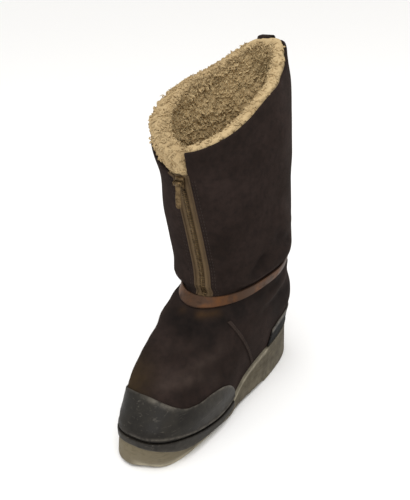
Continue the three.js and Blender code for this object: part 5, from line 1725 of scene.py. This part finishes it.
line_z = np.array([ZIP_HEAD - 2 * SLIDER_HEIGHT, ZIP_HEAD])
front_line = last_point(front_angle(zip_middle(SLIDER_Z), line_z), line_z)
rise = unit((front_line[1] - front_line[0]) * np.array([0, 1.0, 1.0]))
out = np.array([0, -rise[2], rise[1]])
slider_foot = last_point(front_angle(zip_middle(SLIDER_Z), SLIDER_Z), SLIDER_Z)
slider_face = SLIDER_LIFT + SLIDER_THICK
pin_centre = slider_foot + rise * PIN_DROP + out * (slider_face + PIN_LIFT)
ear_x = TAB_HALF + GAP + EAR / 2
ear_height = (PIN_LIFT + PIN_RADIUS + EAR_OVER) / 2
slider = [block(slider_foot + out * (SLIDER_LIFT + SLIDER_THICK / 2), rise, out,
                (SLIDER_WAIST / 2, SLIDER_WIDTH / 2), SLIDER_HEIGHT / 2, SLIDER_THICK / 2)]
for side in (INNER, OUTER):
    ear_foot = slider_foot + RIGHT * side * ear_x + rise * PIN_DROP
    ear_middle = ear_foot + out * (slider_face - EAR_SINK + ear_height)
    slider.append(block(ear_middle, rise, out, EAR / 2, 2 * PIN_RADIUS, ear_height))
slider.append(tube(pin_centre + RIGHT * ear_x * np.array([[-1], [0], [1]]), PIN_RADIUS, PIN_SIDES))
make_piece("zip_slider_body", joined(slider), zip_brass, ["zip_slider"])

# %% [markdown]
# The pull tab hangs from the slider's pin: a blade with a narrow neck, and a sleeve round the pin. It rides
# on its own body, so it can swing.

# %% Zip pull
BLADE_STEPS, BLADE_ROWS, BLADE_FROM, BLADE_ROUND = 40, 12, 4, 0.5
BLADE_END, BLADE_LEAST = 3.5, 0.01
NECK, NECK_AT, NECK_LENGTH = 0.2, 8, 4
SLEEVE_STEPS, SLEEVE_CUT, SLEEVE_SHOULDER = 28, 0.4, 0.3

blade_z = -TAB_LENGTH * edge_steps(BLADE_STEPS)
blade_half = TAB_HALF * round_end(blade_z + TAB_LENGTH, BLADE_END, BLADE_LEAST)
blade_half *= 1 - NECK * bell(blade_z + NECK_AT, NECK_LENGTH)
blade_x = blade_half[:, None] * side_steps(BLADE_ROWS)
blade = np.stack([blade_x, np.zeros_like(blade_x), np.repeat(blade_z[:, None], BLADE_ROWS, axis=1)], -1)
blade = blade[BLADE_FROM:] + pin_centre
blade_out = np.broadcast_to([0, -1.0, 0], blade.shape)
blade_loops = sheet_loops(blade, blade_out, -TAB_THICK / 2, TAB_THICK / 2, BLADE_ROUND)
turn = np.linspace(0, 2 * np.pi, SLEEVE_STEPS, endpoint=False)
spoke = np.stack([np.zeros(SLEEVE_STEPS), np.cos(turn), np.sin(turn)], -1)
bore, eye = PIN_RADIUS + GAP, TAB_EYE
# Place along the pin, then -1 at the bore and 1 at the outside
sleeve = [
    (TAB_HALF, SLEEVE_SHOULDER), (TAB_HALF - SLEEVE_CUT, 1), (-TAB_HALF + SLEEVE_CUT, 1),
    (-TAB_HALF, SLEEVE_SHOULDER), (-TAB_HALF, -1), (TAB_HALF, -1)]
sleeve_loops = np.stack(
    [pin_centre + RIGHT * x + spoke * ((bore + eye) / 2 + s * (eye - bore) / 2) for x, s in sleeve], axis=1)
make_piece("zip_pull_tab", joined([loops_mesh(blade_loops), loops_mesh(sleeve_loops, closed=True)]),
           zip_brass, ["zip_pull"], body="pull_tab")

# %% [markdown]
# A short strip of the same hide is folded over the rim at the back, to pull the boot on by. Its place is
# read from its solid, and its top follows the wool. A bent plane with a Solidify modifier would do, but the
# helper for sheets also rounds its edges.

# %% Pull loop and insole
LOOP_HALF, LOOP_THICK, LOOP_ROUND, LOOP_OUTSIDE, LOOP_INSET = 8.0, 1.6, 0.7, 24, 4
LOOP_STEPS, LOOP_ROWS = 60, 12
# The fold at each leg: inward from the leg, then down from the top
LOOP_FOLD_OUT = [(0, 8), (0, 3), (0.9, 0.9), (3, 0)]
LOOP_FOLD_IN = [(3, 0), (0.9, 0.9), (0.4, 3), (3, 7), (6, 18)]

loop_low, loop_high = np.array(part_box("pull_loop")) / MM + ORIGIN
y_in, y_out = loop_low[1] + LOOP_INSET, loop_high[1] - LOOP_THICK / 2
z_top = float(wool_at(np.array(0.0))) + LOOP_THICK
loop_line = np.array(
    [(y_out, COLLAR_BACK[1] - LOOP_OUTSIDE)]
    + [(y_out - inward, z_top - down) for inward, down in LOOP_FOLD_OUT]
    + [((y_in + y_out) / 2, z_top)]
    + [(y_in + inward, z_top - down) for inward, down in LOOP_FOLD_IN])
loop_along = lengths_along(loop_line[None], 1)[0]
at = np.linspace(0, loop_along[-1], LOOP_STEPS)
loop_x = (loop_low[0] + loop_high[0]) / 2 + LOOP_HALF * side_steps(LOOP_ROWS)
loop_y, loop_z = (np.interp(at, loop_along, loop_line[:, k])[:, None] for k in (0, 1))
strip = np.stack(np.broadcast_arrays(loop_x, loop_y, loop_z), -1)
strip_normals = unit(np.cross(np.gradient(strip, axis=1), np.gradient(strip, axis=0)))
strip_loops = sheet_loops(strip, strip_normals, -LOOP_THICK / 2, LOOP_THICK / 2, LOOP_ROUND)
make_piece("pull_loop_strip", loops_mesh(strip_loops), suede, ["pull_loop"])

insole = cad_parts["insole"]
insole.data.materials.clear()
insole.data.materials.append(wool)
print("insole covered with wool")
